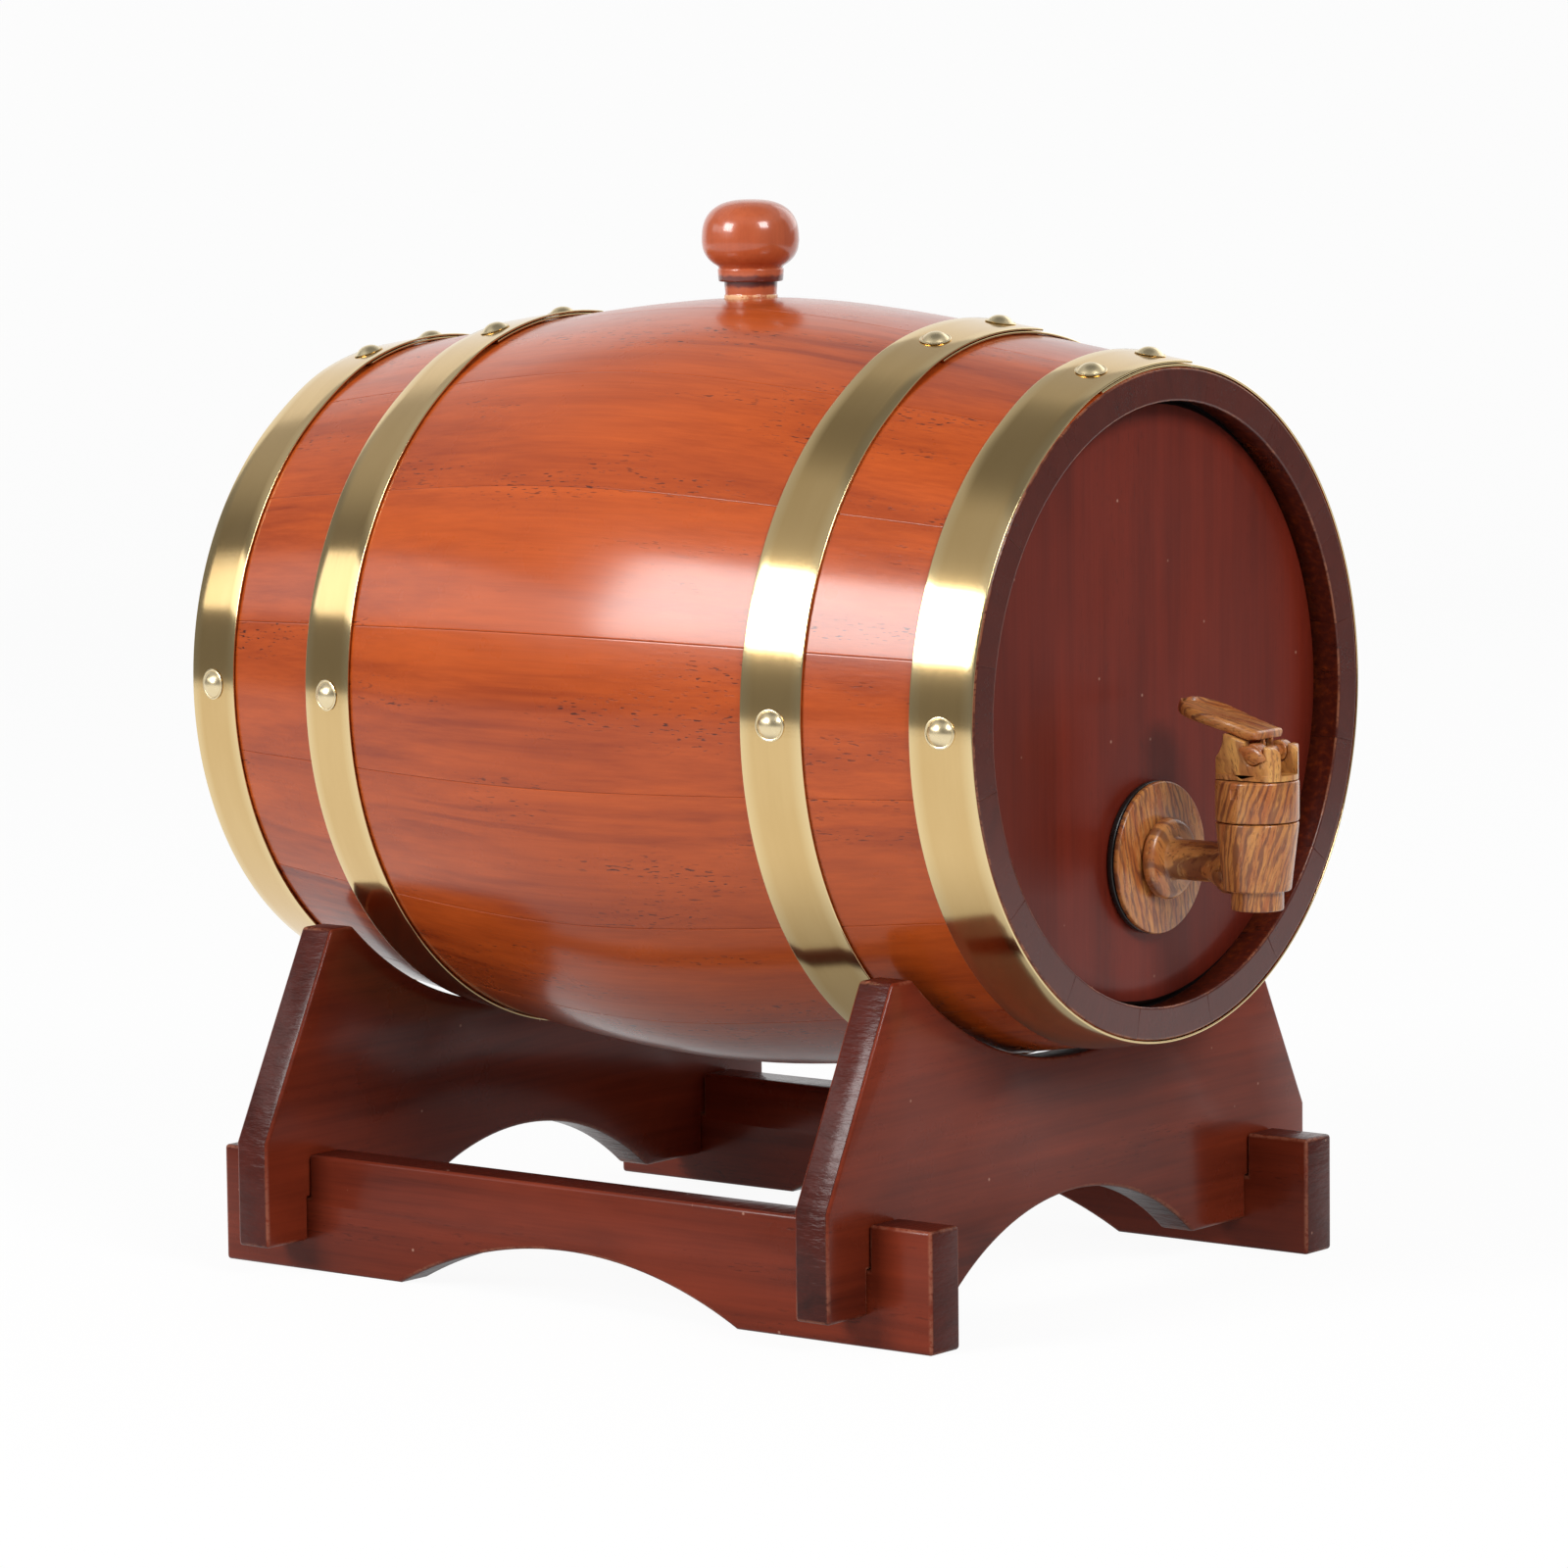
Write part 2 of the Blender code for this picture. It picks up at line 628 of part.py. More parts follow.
def rail_outline():
    """The rail's (y, z) outline."""
    slot = BOARD_THICKNESS / 2 + FIT
    slot_floor = LAP_LEVEL - FIT / 2
    half = RAIL_HALF_LENGTH
    rear_top = [
        (half, 0.0),
        (half, RAIL_HEIGHT),
        (BOARD_OFFSET + slot, RAIL_HEIGHT),
        (BOARD_OFFSET + slot, slot_floor),
        (BOARD_OFFSET - slot, slot_floor),
        (BOARD_OFFSET - slot, RAIL_HEIGHT),
    ]
    front_top = [(-y, z) for y, z in rear_top[::-1]]
    return arch(RAIL_ARCH_HALF, RAIL_ARCH_RISE, 0.0, ARCH_STEPS) + rear_top + front_top


board_data = prism("cradle_board", board_outline(), "Y", -BOARD_THICKNESS / 2, BOARD_THICKNESS / 2)
rail_data = prism("rail", rail_outline(), "X", -RAIL_THICKNESS / 2, RAIL_THICKNESS / 2)
for label, y in (("front", -BOARD_OFFSET), ("rear", BOARD_OFFSET)):
    ease_edges(place(f"cradle_{label}", board_data, floor_frame, STAND_OAK, (0, y, 0)), ARRIS)
for label, x in (("left", -RAIL_OFFSET), ("right", RAIL_OFFSET)):
    ease_edges(place(f"rail_{label}", rail_data, floor_frame, STAND_OAK, (x, 0, 0)), ARRIS)


# Tap body: chamber, seat, spout and a threaded tail through the head


tap_frame = frame("tap_frame", cask_frame, (0, TAP_FRONT, -TAP_DROP))
ALONG = (-QUARTER, 0, 0)


def tap_shell():
    """The chamber's outside, solid, along local Z."""
    return turned("tap_body", [
        (0, SPOUT_END),
        (SPOUT_RADIUS, SPOUT_END),
        (SPOUT_RADIUS, BODY_BOTTOM),
        (BODY_BOTTOM_RADIUS - EASE, BODY_BOTTOM),
        (BODY_BOTTOM_RADIUS, BODY_BOTTOM + EASE),
        (BODY_TOP_RADIUS, BODY_TOP - EASE),
        (BODY_TOP_RADIUS - EASE, BODY_TOP),
        (NECK_RADIUS, BODY_TOP),
        (NECK_RADIUS, NECK_TOP),
        (0, NECK_TOP),
    ], TAP_SIDES)


def tap_stem():
    """The stem, shoulder and tail, along local Z from the chamber to the inside of the cask."""
    tail = NUT_FACE + NUT_THICKNESS + FIT + TAIL_END
    half = SHOULDER_THICKNESS / 2
    rim = arc((SHOULDER_RADIUS - half, SHOULDER_FACE - half), half, -QUARTER, QUARTER, SHOULDER_STEPS)
    return turned("tap_stem", [
        (0, 0),
        (STEM_RADIUS, 0),
        (STEM_RADIUS, SHOULDER_FACE - SHOULDER_THICKNESS),
        *rim,
        (TAIL_RADIUS, SHOULDER_FACE),
        (TAIL_RADIUS, tail - EASE),
        (TAIL_RADIUS - EASE, tail),
        (0, tail),
    ], TAP_SIDES)


def chamber_space():
    return turned("chamber_space", [
        (0, SPOUT_END - EASE),
        (SPOUT_BORE, SPOUT_END - EASE),
        (SPOUT_BORE, SEAT_LEVEL - SEAT_DEPTH),
        (SEAT_RADIUS, SEAT_LEVEL - SEAT_DEPTH),
        (SEAT_RADIUS, SEAT_LEVEL),
        (CHAMBER_RADIUS, SEAT_LEVEL),
        (CHAMBER_RADIUS, NECK_TOP + EASE),
        (0, NECK_TOP + EASE),
    ], TAP_SIDES)


tap_body = place("tap_body", tap_shell(), tap_frame, TAP_GRAIN)
waterway = rod("waterway", WATERWAY_RADIUS, 0, NUT_FACE + NUT_THICKNESS + TAIL_END + 2 * EASE, TAP_SIDES)
combine(tap_body, cutter("add_tap_stem", tap_stem(), tap_frame, rotation=ALONG), "UNION")
combine(tap_body, cutter("cut_chamber", chamber_space(), tap_frame), "DIFFERENCE")
combine(tap_body, cutter("cut_waterway", waterway, tap_frame, rotation=ALONG), "DIFFERENCE")


def stacked_ring(name, outer, face, thickness, sides, look, ease=0.0):
    """A ring on the tail, its near face at a distance from the tap's axis."""
    mesh = ring(name, outer, TAIL_HOLE, face, face + thickness, sides, ease)
    return place(name, mesh, tap_frame, look, rotation=ALONG)


flange_near = SHOULDER_FACE + FIT
gasket_near = flange_near + FLANGE_THICKNESS + FIT
inner_near = TAP_REACH + HEAD_THICKNESS + FIT
nut_near = NUT_FACE + FIT
stacked_ring("tap_flange", FLANGE_RADIUS, flange_near, FLANGE_THICKNESS, FLANGE_SIDES, TAP_GRAIN, EASE)
stacked_ring("tap_gasket_outer", FLANGE_RADIUS, gasket_near, GASKET_THICKNESS, FLANGE_SIDES, SEAL_RUBBER)
stacked_ring(
    "tap_gasket_inner", INNER_GASKET_RADIUS, inner_near, INNER_GASKET_THICKNESS, TAP_SIDES, SEAL_RUBBER)
nut_mesh = rod("tap_lock_nut", NUT_RADIUS, nut_near, nut_near + NUT_THICKNESS, 6)
lock_nut = place("tap_lock_nut", nut_mesh, tap_frame, NUT_PLASTIC, rotation=ALONG)
nut_hole = rod("cut_nut_hole", TAIL_HOLE, nut_near - NUT_THICKNESS, nut_near + 2 * NUT_THICKNESS, TAP_SIDES)
combine(lock_nut, cutter("cut_nut_hole", nut_hole, tap_frame, rotation=ALONG), "DIFFERENCE")

collar_low = BODY_TOP + FIT
place("tap_collar", turned("tap_collar", [
    (NECK_RADIUS + FIT, collar_low),
    (BODY_TOP_RADIUS - EASE, collar_low),
    (BODY_TOP_RADIUS, collar_low + EASE),
    (BODY_TOP_RADIUS, COLLAR_TOP - EASE),
    (BODY_TOP_RADIUS - EASE, COLLAR_TOP),
    (SHANK_HOLE, COLLAR_TOP),
    (SHANK_HOLE, COLLAR_UNDERSIDE),
    (NECK_RADIUS + FIT, COLLAR_UNDERSIDE),
], TAP_SIDES), tap_frame, TAP_GRAIN)


# Fork: a swivelling base with two notched cheeks for the lever


TILT = math.radians(PADDLE_TILT)


def underside(y):
    """Height of the closed lever's underside, y measured from the tap's axis."""
    return PIVOT_LEVEL + PADDLE_CLEAR / math.cos(TILT) + (y + PIVOT_FORWARD) * math.tan(TILT)


def cheek_outline():
    """The cheeks' (y, z) outline with an open notch round the pivot."""
    wall_top = PIVOT_LEVEL + FRONT_WALL_RISE
    wall_back = -PIVOT_FORWARD - NOTCH_RADIUS
    post_front = -PIVOT_FORWARD + NOTCH_RADIUS
    wall_width = FORK_RADIUS + EASE + wall_back
    notch = arc((-PIVOT_FORWARD, PIVOT_LEVEL), NOTCH_RADIUS, math.pi, math.tau, 10)
    crown = arc((wall_back, wall_top - wall_width), wall_width, math.pi, QUARTER, 6)
    front = [(-FORK_RADIUS - EASE, FORK_BASE)] + crown
    rear = [
        (post_front, underside(post_front) - FIT),
        (FORK_WAIST_DEPTH, underside(FORK_WAIST_DEPTH) - FIT),
        (FORK_WAIST_DEPTH, FORK_BASE + FORK_WAIST),
        (FORK_RADIUS * 0.7, (2 * FORK_BASE + FORK_WAIST + FORK_HEEL) / 2),
        (FORK_RADIUS + EASE, FORK_BASE + FORK_HEEL),
        (FORK_RADIUS + EASE, FORK_BASE),
    ]
    return front + notch + rear


fork_floor_top = FORK_BASE + FORK_FLOOR
tall = underside(FORK_RADIUS)
fork_mesh = prism("tap_fork", cheek_outline(), "X", -FORK_FLAT, FORK_FLAT)
fork = place("tap_fork", fork_mesh, tap_frame, FORK_YELLOW)
fork_round = rod("keep_fork_round", FORK_RADIUS, FORK_BASE - EASE, tall, FLANGE_SIDES)
round_off = cutter("keep_fork_round", fork_round, tap_frame)
slot_low = (-FORK_SLOT, -2 * FORK_RADIUS, fork_floor_top)
slot_high = (FORK_SLOT, 2 * FORK_RADIUS, 2 * tall)
slot_space = box("cut_fork_slot", slot_low, slot_high)
shank_space = rod("cut_fork_shank", SHANK_HOLE, FORK_BASE - EASE, tall, TAP_SIDES)
combine(fork, round_off, "INTERSECT")
combine(fork, cutter("cut_fork_slot", slot_space, tap_frame), "DIFFERENCE")
combine(fork, cutter("cut_fork_shank", shank_space, tap_frame), "DIFFERENCE")


# Lever: a tilted paddle with a hub, two trunnions and two claws under the plunger's button


pivot_place = (0, -PIVOT_FORWARD, PIVOT_LEVEL)
SIDEWAYS = (0, QUARTER, 0)


def paddle_mesh():
    """The paddle, square at the front and round at the tip, tilted about the pivot."""
    bm = bmesh.new()
    centre = (PADDLE_REACH - PADDLE_TIP_RADIUS, 0.0)
    outline = [(PADDLE_START, -PADDLE_HALF_WIDTH)]
    outline += arc(centre, PADDLE_TIP_RADIUS, -QUARTER, QUARTER, PADDLE_TIP_STEPS)
    outline += [(PADDLE_START, PADDLE_HALF_WIDTH)]
    corners = [bm.verts.new((-across, along, PADDLE_CLEAR)) for along, across in outline]
    made = bmesh.ops.extrude_face_region(bm, geom=[bm.faces.new(corners)])
    moved = [item for item in made["geom"] if isinstance(item, bmesh.types.BMVert)]
    bmesh.ops.translate(bm, verts=moved, vec=(0, 0, PADDLE_THICKNESS))
    bmesh.ops.rotate(bm, verts=bm.verts, cent=(0, 0, 0), matrix=Matrix.Rotation(TILT, 3, "X"))
    return mesh_from(bm, "tap_lever")


def claw_outline():
    tip = arc((PIVOT_FORWARD, 0.0), CLAW_RADIUS, -QUARTER, QUARTER, 8)
    return [(0.0, -CLAW_RADIUS)] + tip + [(0.0, CLAW_RADIUS)]


lever = place("tap_lever", paddle_mesh(), tap_frame, TAP_GRAIN, pivot_place)
ease_edges(lever, PADDLE_EDGE, 2)
core_half = (FORK_SLOT + HUB_HALF) / 2
combine(lever, cutter("add_core", rod("add_core", CORE_RADIUS, -core_half, core_half, 16),
                      lever, rotation=SIDEWAYS), "UNION")
for label, sign in (("left", -1), ("right", 1)):
    ends = sorted((sign * (FORK_SLOT - FIT / 3), sign * HUB_HALF))
    trunnion = rod(f"add_trunnion_{label}", HUB_RADIUS, ends[0], ends[1], TAP_SIDES)
    combine(lever, cutter(f"add_trunnion_{label}", trunnion, lever, rotation=SIDEWAYS), "UNION")
    cap_near = FORK_FLAT + FIT
    ends = sorted((sign * cap_near, sign * (cap_near + CAP_THICKNESS)))
    cap = oval(f"add_cap_{label}", CAP_LENGTH, HUB_RADIUS * 0.7, ends[0], ends[1], TAP_SIDES)
    combine(lever, cutter(f"add_cap_{label}", cap, lever, rotation=SIDEWAYS), "UNION")
    sides = sorted((sign * CLAW_INNER, sign * CLAW_OUTER))
    claw = prism(f"add_claw_{label}", claw_outline(), "X", sides[0], sides[1])
    combine(lever, cutter(f"add_claw_{label}", claw, lever), "UNION")
pocket_front = PIVOT_FORWARD - BUTTON_RADIUS - FIT
neck_half = CLAW_OUTER - FIT
neck_low = (-neck_half, 0.0, 0.0)
neck_high = (neck_half, 2 * pocket_front, PADDLE_CLEAR + PADDLE_THICKNESS / 2)
combine(lever, cutter("add_neck", box("add_neck", neck_low, neck_high), lever), "UNION")
pocket_low = (-BUTTON_RADIUS - FIT, pocket_front, CLAW_RADIUS + FIT / 6)
pocket_high = (BUTTON_RADIUS + FIT, PIVOT_FORWARD + 2 * BUTTON_RADIUS, PADDLE_CLEAR + FIT * 4)
combine(lever, cutter("cut_pocket", box("cut_pocket", pocket_low, pocket_high), lever), "DIFFERENCE")


# Plunger, washer and spring


button_top = BUTTON_BASE + BUTTON_THICKNESS
place("tap_plunger", turned("tap_plunger", [
    (0, DISC_BASE - WASHER_THICKNESS + FIT),
    (NIB_RADIUS, DISC_BASE - WASHER_THICKNESS + FIT),
    (NIB_RADIUS, DISC_BASE),
    (VALVE_RADIUS, DISC_BASE),
    (VALVE_RADIUS, DISC_TOP),
    (SHANK_RADIUS, DISC_TOP),
    (SHANK_RADIUS, BUTTON_BASE),
    (BUTTON_RADIUS, BUTTON_BASE),
    (BUTTON_RADIUS, button_top - EASE),
    (BUTTON_RADIUS - EASE, button_top),
    (0, button_top),
], TAP_SIDES), tap_frame, FORK_YELLOW)
place("tap_seat_washer", ring("tap_seat_washer", VALVE_RADIUS, NIB_RADIUS + FIT, WASHER_BASE,
                              WASHER_BASE + WASHER_THICKNESS, TAP_SIDES), tap_frame, SEAL_RUBBER)


def spring_points():
    """Centreline of the coil, from over the valve disc to under the collar."""
    low = DISC_TOP + FIT + SPRING_WIRE * 1.5
    high = COLLAR_UNDERSIDE - FIT - SPRING_WIRE * 1.5
    count = SPRING_TURNS * SPRING_STEPS
    points = []
    for step in range(count + 1):
        turn = math.tau * step / SPRING_STEPS
        climb = low + (high - low) * step / count
        points.append(Vector((SPRING_RADIUS * math.cos(turn), SPRING_RADIUS * math.sin(turn), climb)))
    return points


def least_gap(points, wire, skip):
    """Least space between turns, measured between centreline points."""
    least = math.inf
    for number, point in enumerate(points):
        for other in points[number + skip:]:
            least = min(least, (point - other).length)
    return least - 2 * wire


coil = spring_points()
curve = bpy.data.curves.new("tap_spring", "CURVE")
curve.dimensions = "3D"
line = curve.splines.new("POLY")
line.points.add(len(coil) - 1)
for spot, point in zip(line.points, coil):
    spot.co = (*point, 1.0)
curve.bevel_depth = SPRING_WIRE
curve.bevel_resolution = 1
curve.use_fill_caps = True
curve.materials.append(SPRING_STEEL)
place("tap_spring", curve, tap_frame)
coil_gap = least_gap(coil, SPRING_WIRE, SPRING_STEPS - 2)
print("spring: least gap between turns", round(coil_gap * 1000, 2), "mm")
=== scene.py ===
# %% [markdown]
# # A small oak cask on its stand
# The cask, its hoops, bung, stand and tap are already worked out as solid parts that fit and move.
# This lesson dresses them: each part gets a finer mesh, and a finish made only from shader nodes.
# The parts share one frame: metres, +Z up, the cask's axis along Y and the tap at the -Y end.

# %% Load the solid parts
import json
import math

import bmesh
import bpy
import numpy as np
from mathutils import Matrix, Vector

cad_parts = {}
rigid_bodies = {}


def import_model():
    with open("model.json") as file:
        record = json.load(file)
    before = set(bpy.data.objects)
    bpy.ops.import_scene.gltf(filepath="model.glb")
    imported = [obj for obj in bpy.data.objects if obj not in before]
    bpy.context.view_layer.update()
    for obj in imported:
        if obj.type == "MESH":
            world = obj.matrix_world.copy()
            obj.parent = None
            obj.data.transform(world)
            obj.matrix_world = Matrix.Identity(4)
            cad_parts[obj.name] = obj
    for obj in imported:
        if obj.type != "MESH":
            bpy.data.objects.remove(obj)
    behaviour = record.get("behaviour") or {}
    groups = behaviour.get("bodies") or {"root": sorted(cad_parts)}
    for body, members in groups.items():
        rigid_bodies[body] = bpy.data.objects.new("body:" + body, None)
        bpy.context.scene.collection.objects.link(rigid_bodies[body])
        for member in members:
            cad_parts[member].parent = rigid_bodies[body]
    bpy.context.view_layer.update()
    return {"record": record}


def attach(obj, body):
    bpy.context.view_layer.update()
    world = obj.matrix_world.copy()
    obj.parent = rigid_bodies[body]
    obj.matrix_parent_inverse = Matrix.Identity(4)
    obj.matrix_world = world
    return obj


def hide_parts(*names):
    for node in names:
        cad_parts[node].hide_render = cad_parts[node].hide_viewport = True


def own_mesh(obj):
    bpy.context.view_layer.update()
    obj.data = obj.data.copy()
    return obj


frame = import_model()

# %% [markdown]
# ## The camera
# The photograph was taken from the tap's left, a little above the table, with a long lens.
# A long lens far away keeps the two ends of the cask nearly the same size, as the photograph has them.
# The camera's three directions are worked out from its heading, height and roll.

# %% Camera
HEADING = math.radians(-52.0199)
HEIGHT_ANGLE = math.radians(6.3303)
ROLL = math.radians(-0.6442)
CAMERA_PLACE = Vector((-1.604089, -1.235329, 0.374366))
LENS = 151.149

backward = Vector((math.sin(HEADING) * math.cos(HEIGHT_ANGLE),
                   -math.cos(HEADING) * math.cos(HEIGHT_ANGLE), math.sin(HEIGHT_ANGLE)))
level_right = Vector((math.cos(HEADING), math.sin(HEADING), 0.0))
level_up = backward.cross(level_right)
right = level_right * math.cos(ROLL) + level_up * math.sin(ROLL)
up = level_up * math.cos(ROLL) - level_right * math.sin(ROLL)
camera_data = bpy.data.cameras.new("camera")
camera_data.lens = LENS
camera_data.sensor_width = 36.0
camera_data.clip_end = 30.0
camera = bpy.data.objects.new("camera", camera_data)
bpy.context.scene.collection.objects.link(camera)
turn = Matrix((right, up, backward)).transposed()
camera.matrix_world = Matrix.Translation(CAMERA_PLACE) @ turn.to_4x4()
bpy.context.scene.camera = camera
bpy.context.scene.view_settings.view_transform = "Standard"
print("camera stands", round(CAMERA_PLACE.length, 2), "m from the origin")

# %% [markdown]
# ## The main sizes
# These are the sizes that the solid parts were made to. A finer mesh made from the same sizes
# lies exactly where its solid lies, so nothing has to be fitted by eye.
# The cask's outline is a hyperbola: nearly straight towards the ends and rounded at the belly.

# %% Sizes of the cask
CENTRE_Y = 0.0213
AXIS_Z = 0.181
HALF_LENGTH = 0.151
CHIME_RADIUS = 0.100
BELLY_RADIUS = 0.1186
BELLY_ROUNDING = 0.0086
STAVE_THICKNESS = 0.010
STAVES = 16
STAVE_ANGLE = math.tau / STAVES
HEAD_FACE = 0.1425
HEAD_THICKNESS = 0.011
FIT = 0.0003
SLOPE = math.sqrt((BELLY_RADIUS + BELLY_ROUNDING - CHIME_RADIUS) ** 2 - BELLY_ROUNDING ** 2) / HALF_LENGTH
CASK = Matrix.Translation((0.0, CENTRE_Y, AXIS_Z))


def stave_radius(y):
    """Outer radius of the cask at a distance from its middle."""
    return BELLY_RADIUS + BELLY_ROUNDING - math.hypot(BELLY_ROUNDING, SLOPE * y)


print("cask radius at the ends and belly:", round(stave_radius(HALF_LENGTH), 4), stave_radius(0.0))

# %% [markdown]
# ## From points to pieces
# Nearly every part here is one of three things: a shape turned on a lathe, a board cut to an
# outline, or a bent strip. One helper makes each kind as a bmesh, and one more closes it into a piece.
# Each piece also keeps two facts about its surface, stored at its points for the materials to read:
# "timber" is where the point lies in the wood (along, across and into the grain), and "rim" is 1 on rounded edges,
# where varnish rubs off first; on the brass hoops it marks a painted highlight along the edges.

# %% Helper: linear colours
def linear(colour, alpha=1.0):
    """An sRGB colour of 0 to 255 as the linear one that the shader takes."""
    made = []
    for channel in colour:
        value = channel / 255.0
        made.append(value / 12.92 if value <= 0.04045 else ((value + 0.055) / 1.055) ** 2.4)
    return (*made, alpha)


print("white in linear:", linear((255, 255, 255)))

# %% Helper: arcs and softened corners
def arc(centre, radius, start, end, steps):
    points = []
    for step in range(steps + 1):
        angle = start + (end - start) * step / steps
        points.append((centre[0] + radius * math.cos(angle), centre[1] + radius * math.sin(angle)))
    return points


def softened(points, reach, steps=4, closed=False):
    """Round each corner of an outline: the curve leaves the corner's sides at a distance reach."""
    made = []
    count = len(points)
    for number, corner in enumerate(points):
        if not closed and number in (0, count - 1):
            made.append(corner)
            continue
        corner = Vector(corner)
        before = Vector(points[number - 1]) - corner
        after = Vector(points[(number + 1) % count]) - corner
        if before.angle(after) > math.radians(165):
            made.append(tuple(corner))
            continue
        start = corner + before.normalized() * min(reach, before.length * 0.45)
        end = corner + after.normalized() * min(reach, after.length * 0.45)
        for step in range(steps + 1):
            t = step / steps
            made.append(tuple(start * (1 - t) ** 2 + corner * 2 * t * (1 - t) + end * t ** 2))
    return made


print("a softened square has", len(softened([(0, 0), (1, 0), (1, 1), (0, 1)], 0.2, closed=True)), "points")

# %% Helper: turn a profile on a lathe
def turned(profile, sides, matrix=Matrix.Identity(4), bm=None):
    """Spin (radius, height) points round Z. A profile that starts off the axis is a closed ring."""
    bm = bm or bmesh.new()
    rows = []
    for radius, height in profile:
        if radius < 1e-7:
            rows.append([bm.verts.new(matrix @ Vector((0, 0, height)))])
            continue
        row = []
        for side in range(sides):
            angle = math.tau * side / sides
            row.append(bm.verts.new(matrix @ Vector((radius * math.cos(angle), radius * math.sin(angle), height))))
        rows.append(row)
    pairs = list(zip(rows, rows[1:]))
    if len(rows[0]) > 1:
        pairs.append((rows[-1], rows[0]))
    for low, high in pairs:
        for side in range(sides):
            follow = (side + 1) % sides
            ring = [low[side % len(low)], low[follow % len(low)], high[follow % len(high)], high[side % len(high)]]
            corners = list(dict.fromkeys(ring))
            if len(corners) > 2:
                bm.faces.new(corners)
    return bm


# %% Helper: cut a board to an outline, and loft a strip through rings
def board(outline, axis, low, high, edge, matrix=Matrix.Identity(4), segments=3):
    """Extrude an outline along X (points are y, z) or Y (points are x, z), and round its edges."""
    bm = bmesh.new()
    corners = []
    for across, height in outline:
        corners.append(bm.verts.new((low, across, height) if axis == "X" else (across, low, height)))
    made = bmesh.ops.extrude_face_region(bm, geom=[bm.faces.new(corners)])
    moved = [item for item in made["geom"] if isinstance(item, bmesh.types.BMVert)]
    bmesh.ops.translate(bm, verts=moved, vec=(high - low, 0, 0) if axis == "X" else (0, high - low, 0))
    bmesh.ops.recalc_face_normals(bm, faces=bm.faces)
    sharp = [item for item in bm.edges if item.calc_face_angle(0.0) > math.radians(35)]
    before = set(bm.faces)
    if edge > 0:
        bmesh.ops.bevel(bm, geom=sharp, offset=edge, segments=segments, profile=0.5, affect="EDGES",
                        clamp_overlap=True)
    bmesh.ops.transform(bm, matrix=matrix, verts=bm.verts)
    return bm


def lofted(rings, bm=None):
    """A closed skin through rings of equally many points, with both ends capped."""
    bm = bm or bmesh.new()
    rows = [[bm.verts.new(point) for point in ring] for ring in rings]
    for near, far in zip(rows, rows[1:]):
        for number in range(len(near)):
            follow = (number + 1) % len(near)
            bm.faces.new((near[number], near[follow], far[follow], far[number]))
    bm.faces.new(rows[0])
    bm.faces.new(rows[-1])
    return bm


# %% Helper: close a bmesh into a piece that rides on its body
BODY_OF = {node: body for body, nodes in frame["record"]["behaviour"]["bodies"].items() for node in nodes}


def piece(name, bm, look, nodes, timber=None, rim=None, cut=None, sharp=40.0):
    """One smooth shaded piece that stands for its nodes. timber and rim map a point to its values."""
    bmesh.ops.remove_doubles(bm, verts=bm.verts, dist=1e-6)
    bmesh.ops.recalc_face_normals(bm, faces=bm.faces)
    mesh = bpy.data.meshes.new(name)
    bm.to_mesh(mesh)
    bm.free()
    made = bpy.data.objects.new(name, mesh)
    bpy.context.scene.collection.objects.link(made)
    if cut is not None:
        made.data = cut_away(made, cut)
    mesh = made.data
    mesh.shade_smooth()
    mesh.set_sharp_from_angle(angle=math.radians(sharp))
    mesh.materials.clear()
    mesh.materials.append(look)
    places = [vertex.co.copy() for vertex in mesh.vertices]
    wood = mesh.attributes.new("timber", "FLOAT_VECTOR", "POINT")
    wood.data.foreach_set("vector", np.array([timber(p) if timber else p for p in places], dtype="f").ravel())
    edges = mesh.attributes.new("rim", "FLOAT", "POINT")
    edges.data.foreach_set("value", np.array([rim(p) if rim else 0.0 for p in places], dtype="f"))
    nodes = [nodes] if isinstance(nodes, str) else nodes
    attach(made, BODY_OF[nodes[0]])
    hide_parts(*nodes)
    return made


def cut_away(target, tool_bm):
    """The target's mesh with another closed shape taken out of it."""
    mesh = bpy.data.meshes.new("tool")
    bmesh.ops.recalc_face_normals(tool_bm, faces=tool_bm.faces)
    tool_bm.to_mesh(mesh)
    tool_bm.free()
    tool = bpy.data.objects.new("tool", mesh)
    bpy.context.scene.collection.objects.link(tool)
    step = target.modifiers.new("cut", "BOOLEAN")
    step.operation = "DIFFERENCE"
    step.solver = "EXACT"
    step.object = tool
    seen = bpy.context.evaluated_depsgraph_get()
    made = bpy.data.meshes.new_from_object(target.evaluated_get(seen))
    target.modifiers.clear()
    bpy.data.objects.remove(tool, do_unlink=True)
    return made


print("nodes with a body:", len(BODY_OF))

# %% [markdown]
# ## Node helpers
# A material is a graph. These few lines keep it short to write: `add` makes a node with its
# settings and inputs, and a value that is itself a socket is linked instead of copied.

# %% Helper: add a node
def add(tree, kind, inputs=None, **settings):
    node = tree.nodes.new(kind)
    for key, value in settings.items():
        setattr(node, key, value)
    for key, value in (inputs or {}).items():
        socket = node.inputs[key]
        if isinstance(value, bpy.types.NodeSocket):
            tree.links.new(value, socket)
        else:
            socket.default_value = value
    return node


def maths(tree, operation, first, second=0.0, third=0.0, clamp=False):
    node = add(tree, "ShaderNodeMath", {0: first, 1: second, 2: third}, operation=operation, use_clamp=clamp)
    return node.outputs[0]


def ramp(tree, value, low, high, low_out=0.0, high_out=1.0):
    """A smooth step from low to high."""
    node = add(tree, "ShaderNodeMapRange", {"Value": value, "From Min": low, "From Max": high,
                                            "To Min": low_out, "To Max": high_out},
               interpolation_type="SMOOTHSTEP")
    return node.outputs["Result"]


def blended(tree, amount, first, second, mode="MIX"):
    node = add(tree, "ShaderNodeMix", {0: amount, 6: first, 7: second}, data_type="RGBA", blend_type=mode)
    return node.outputs[2]


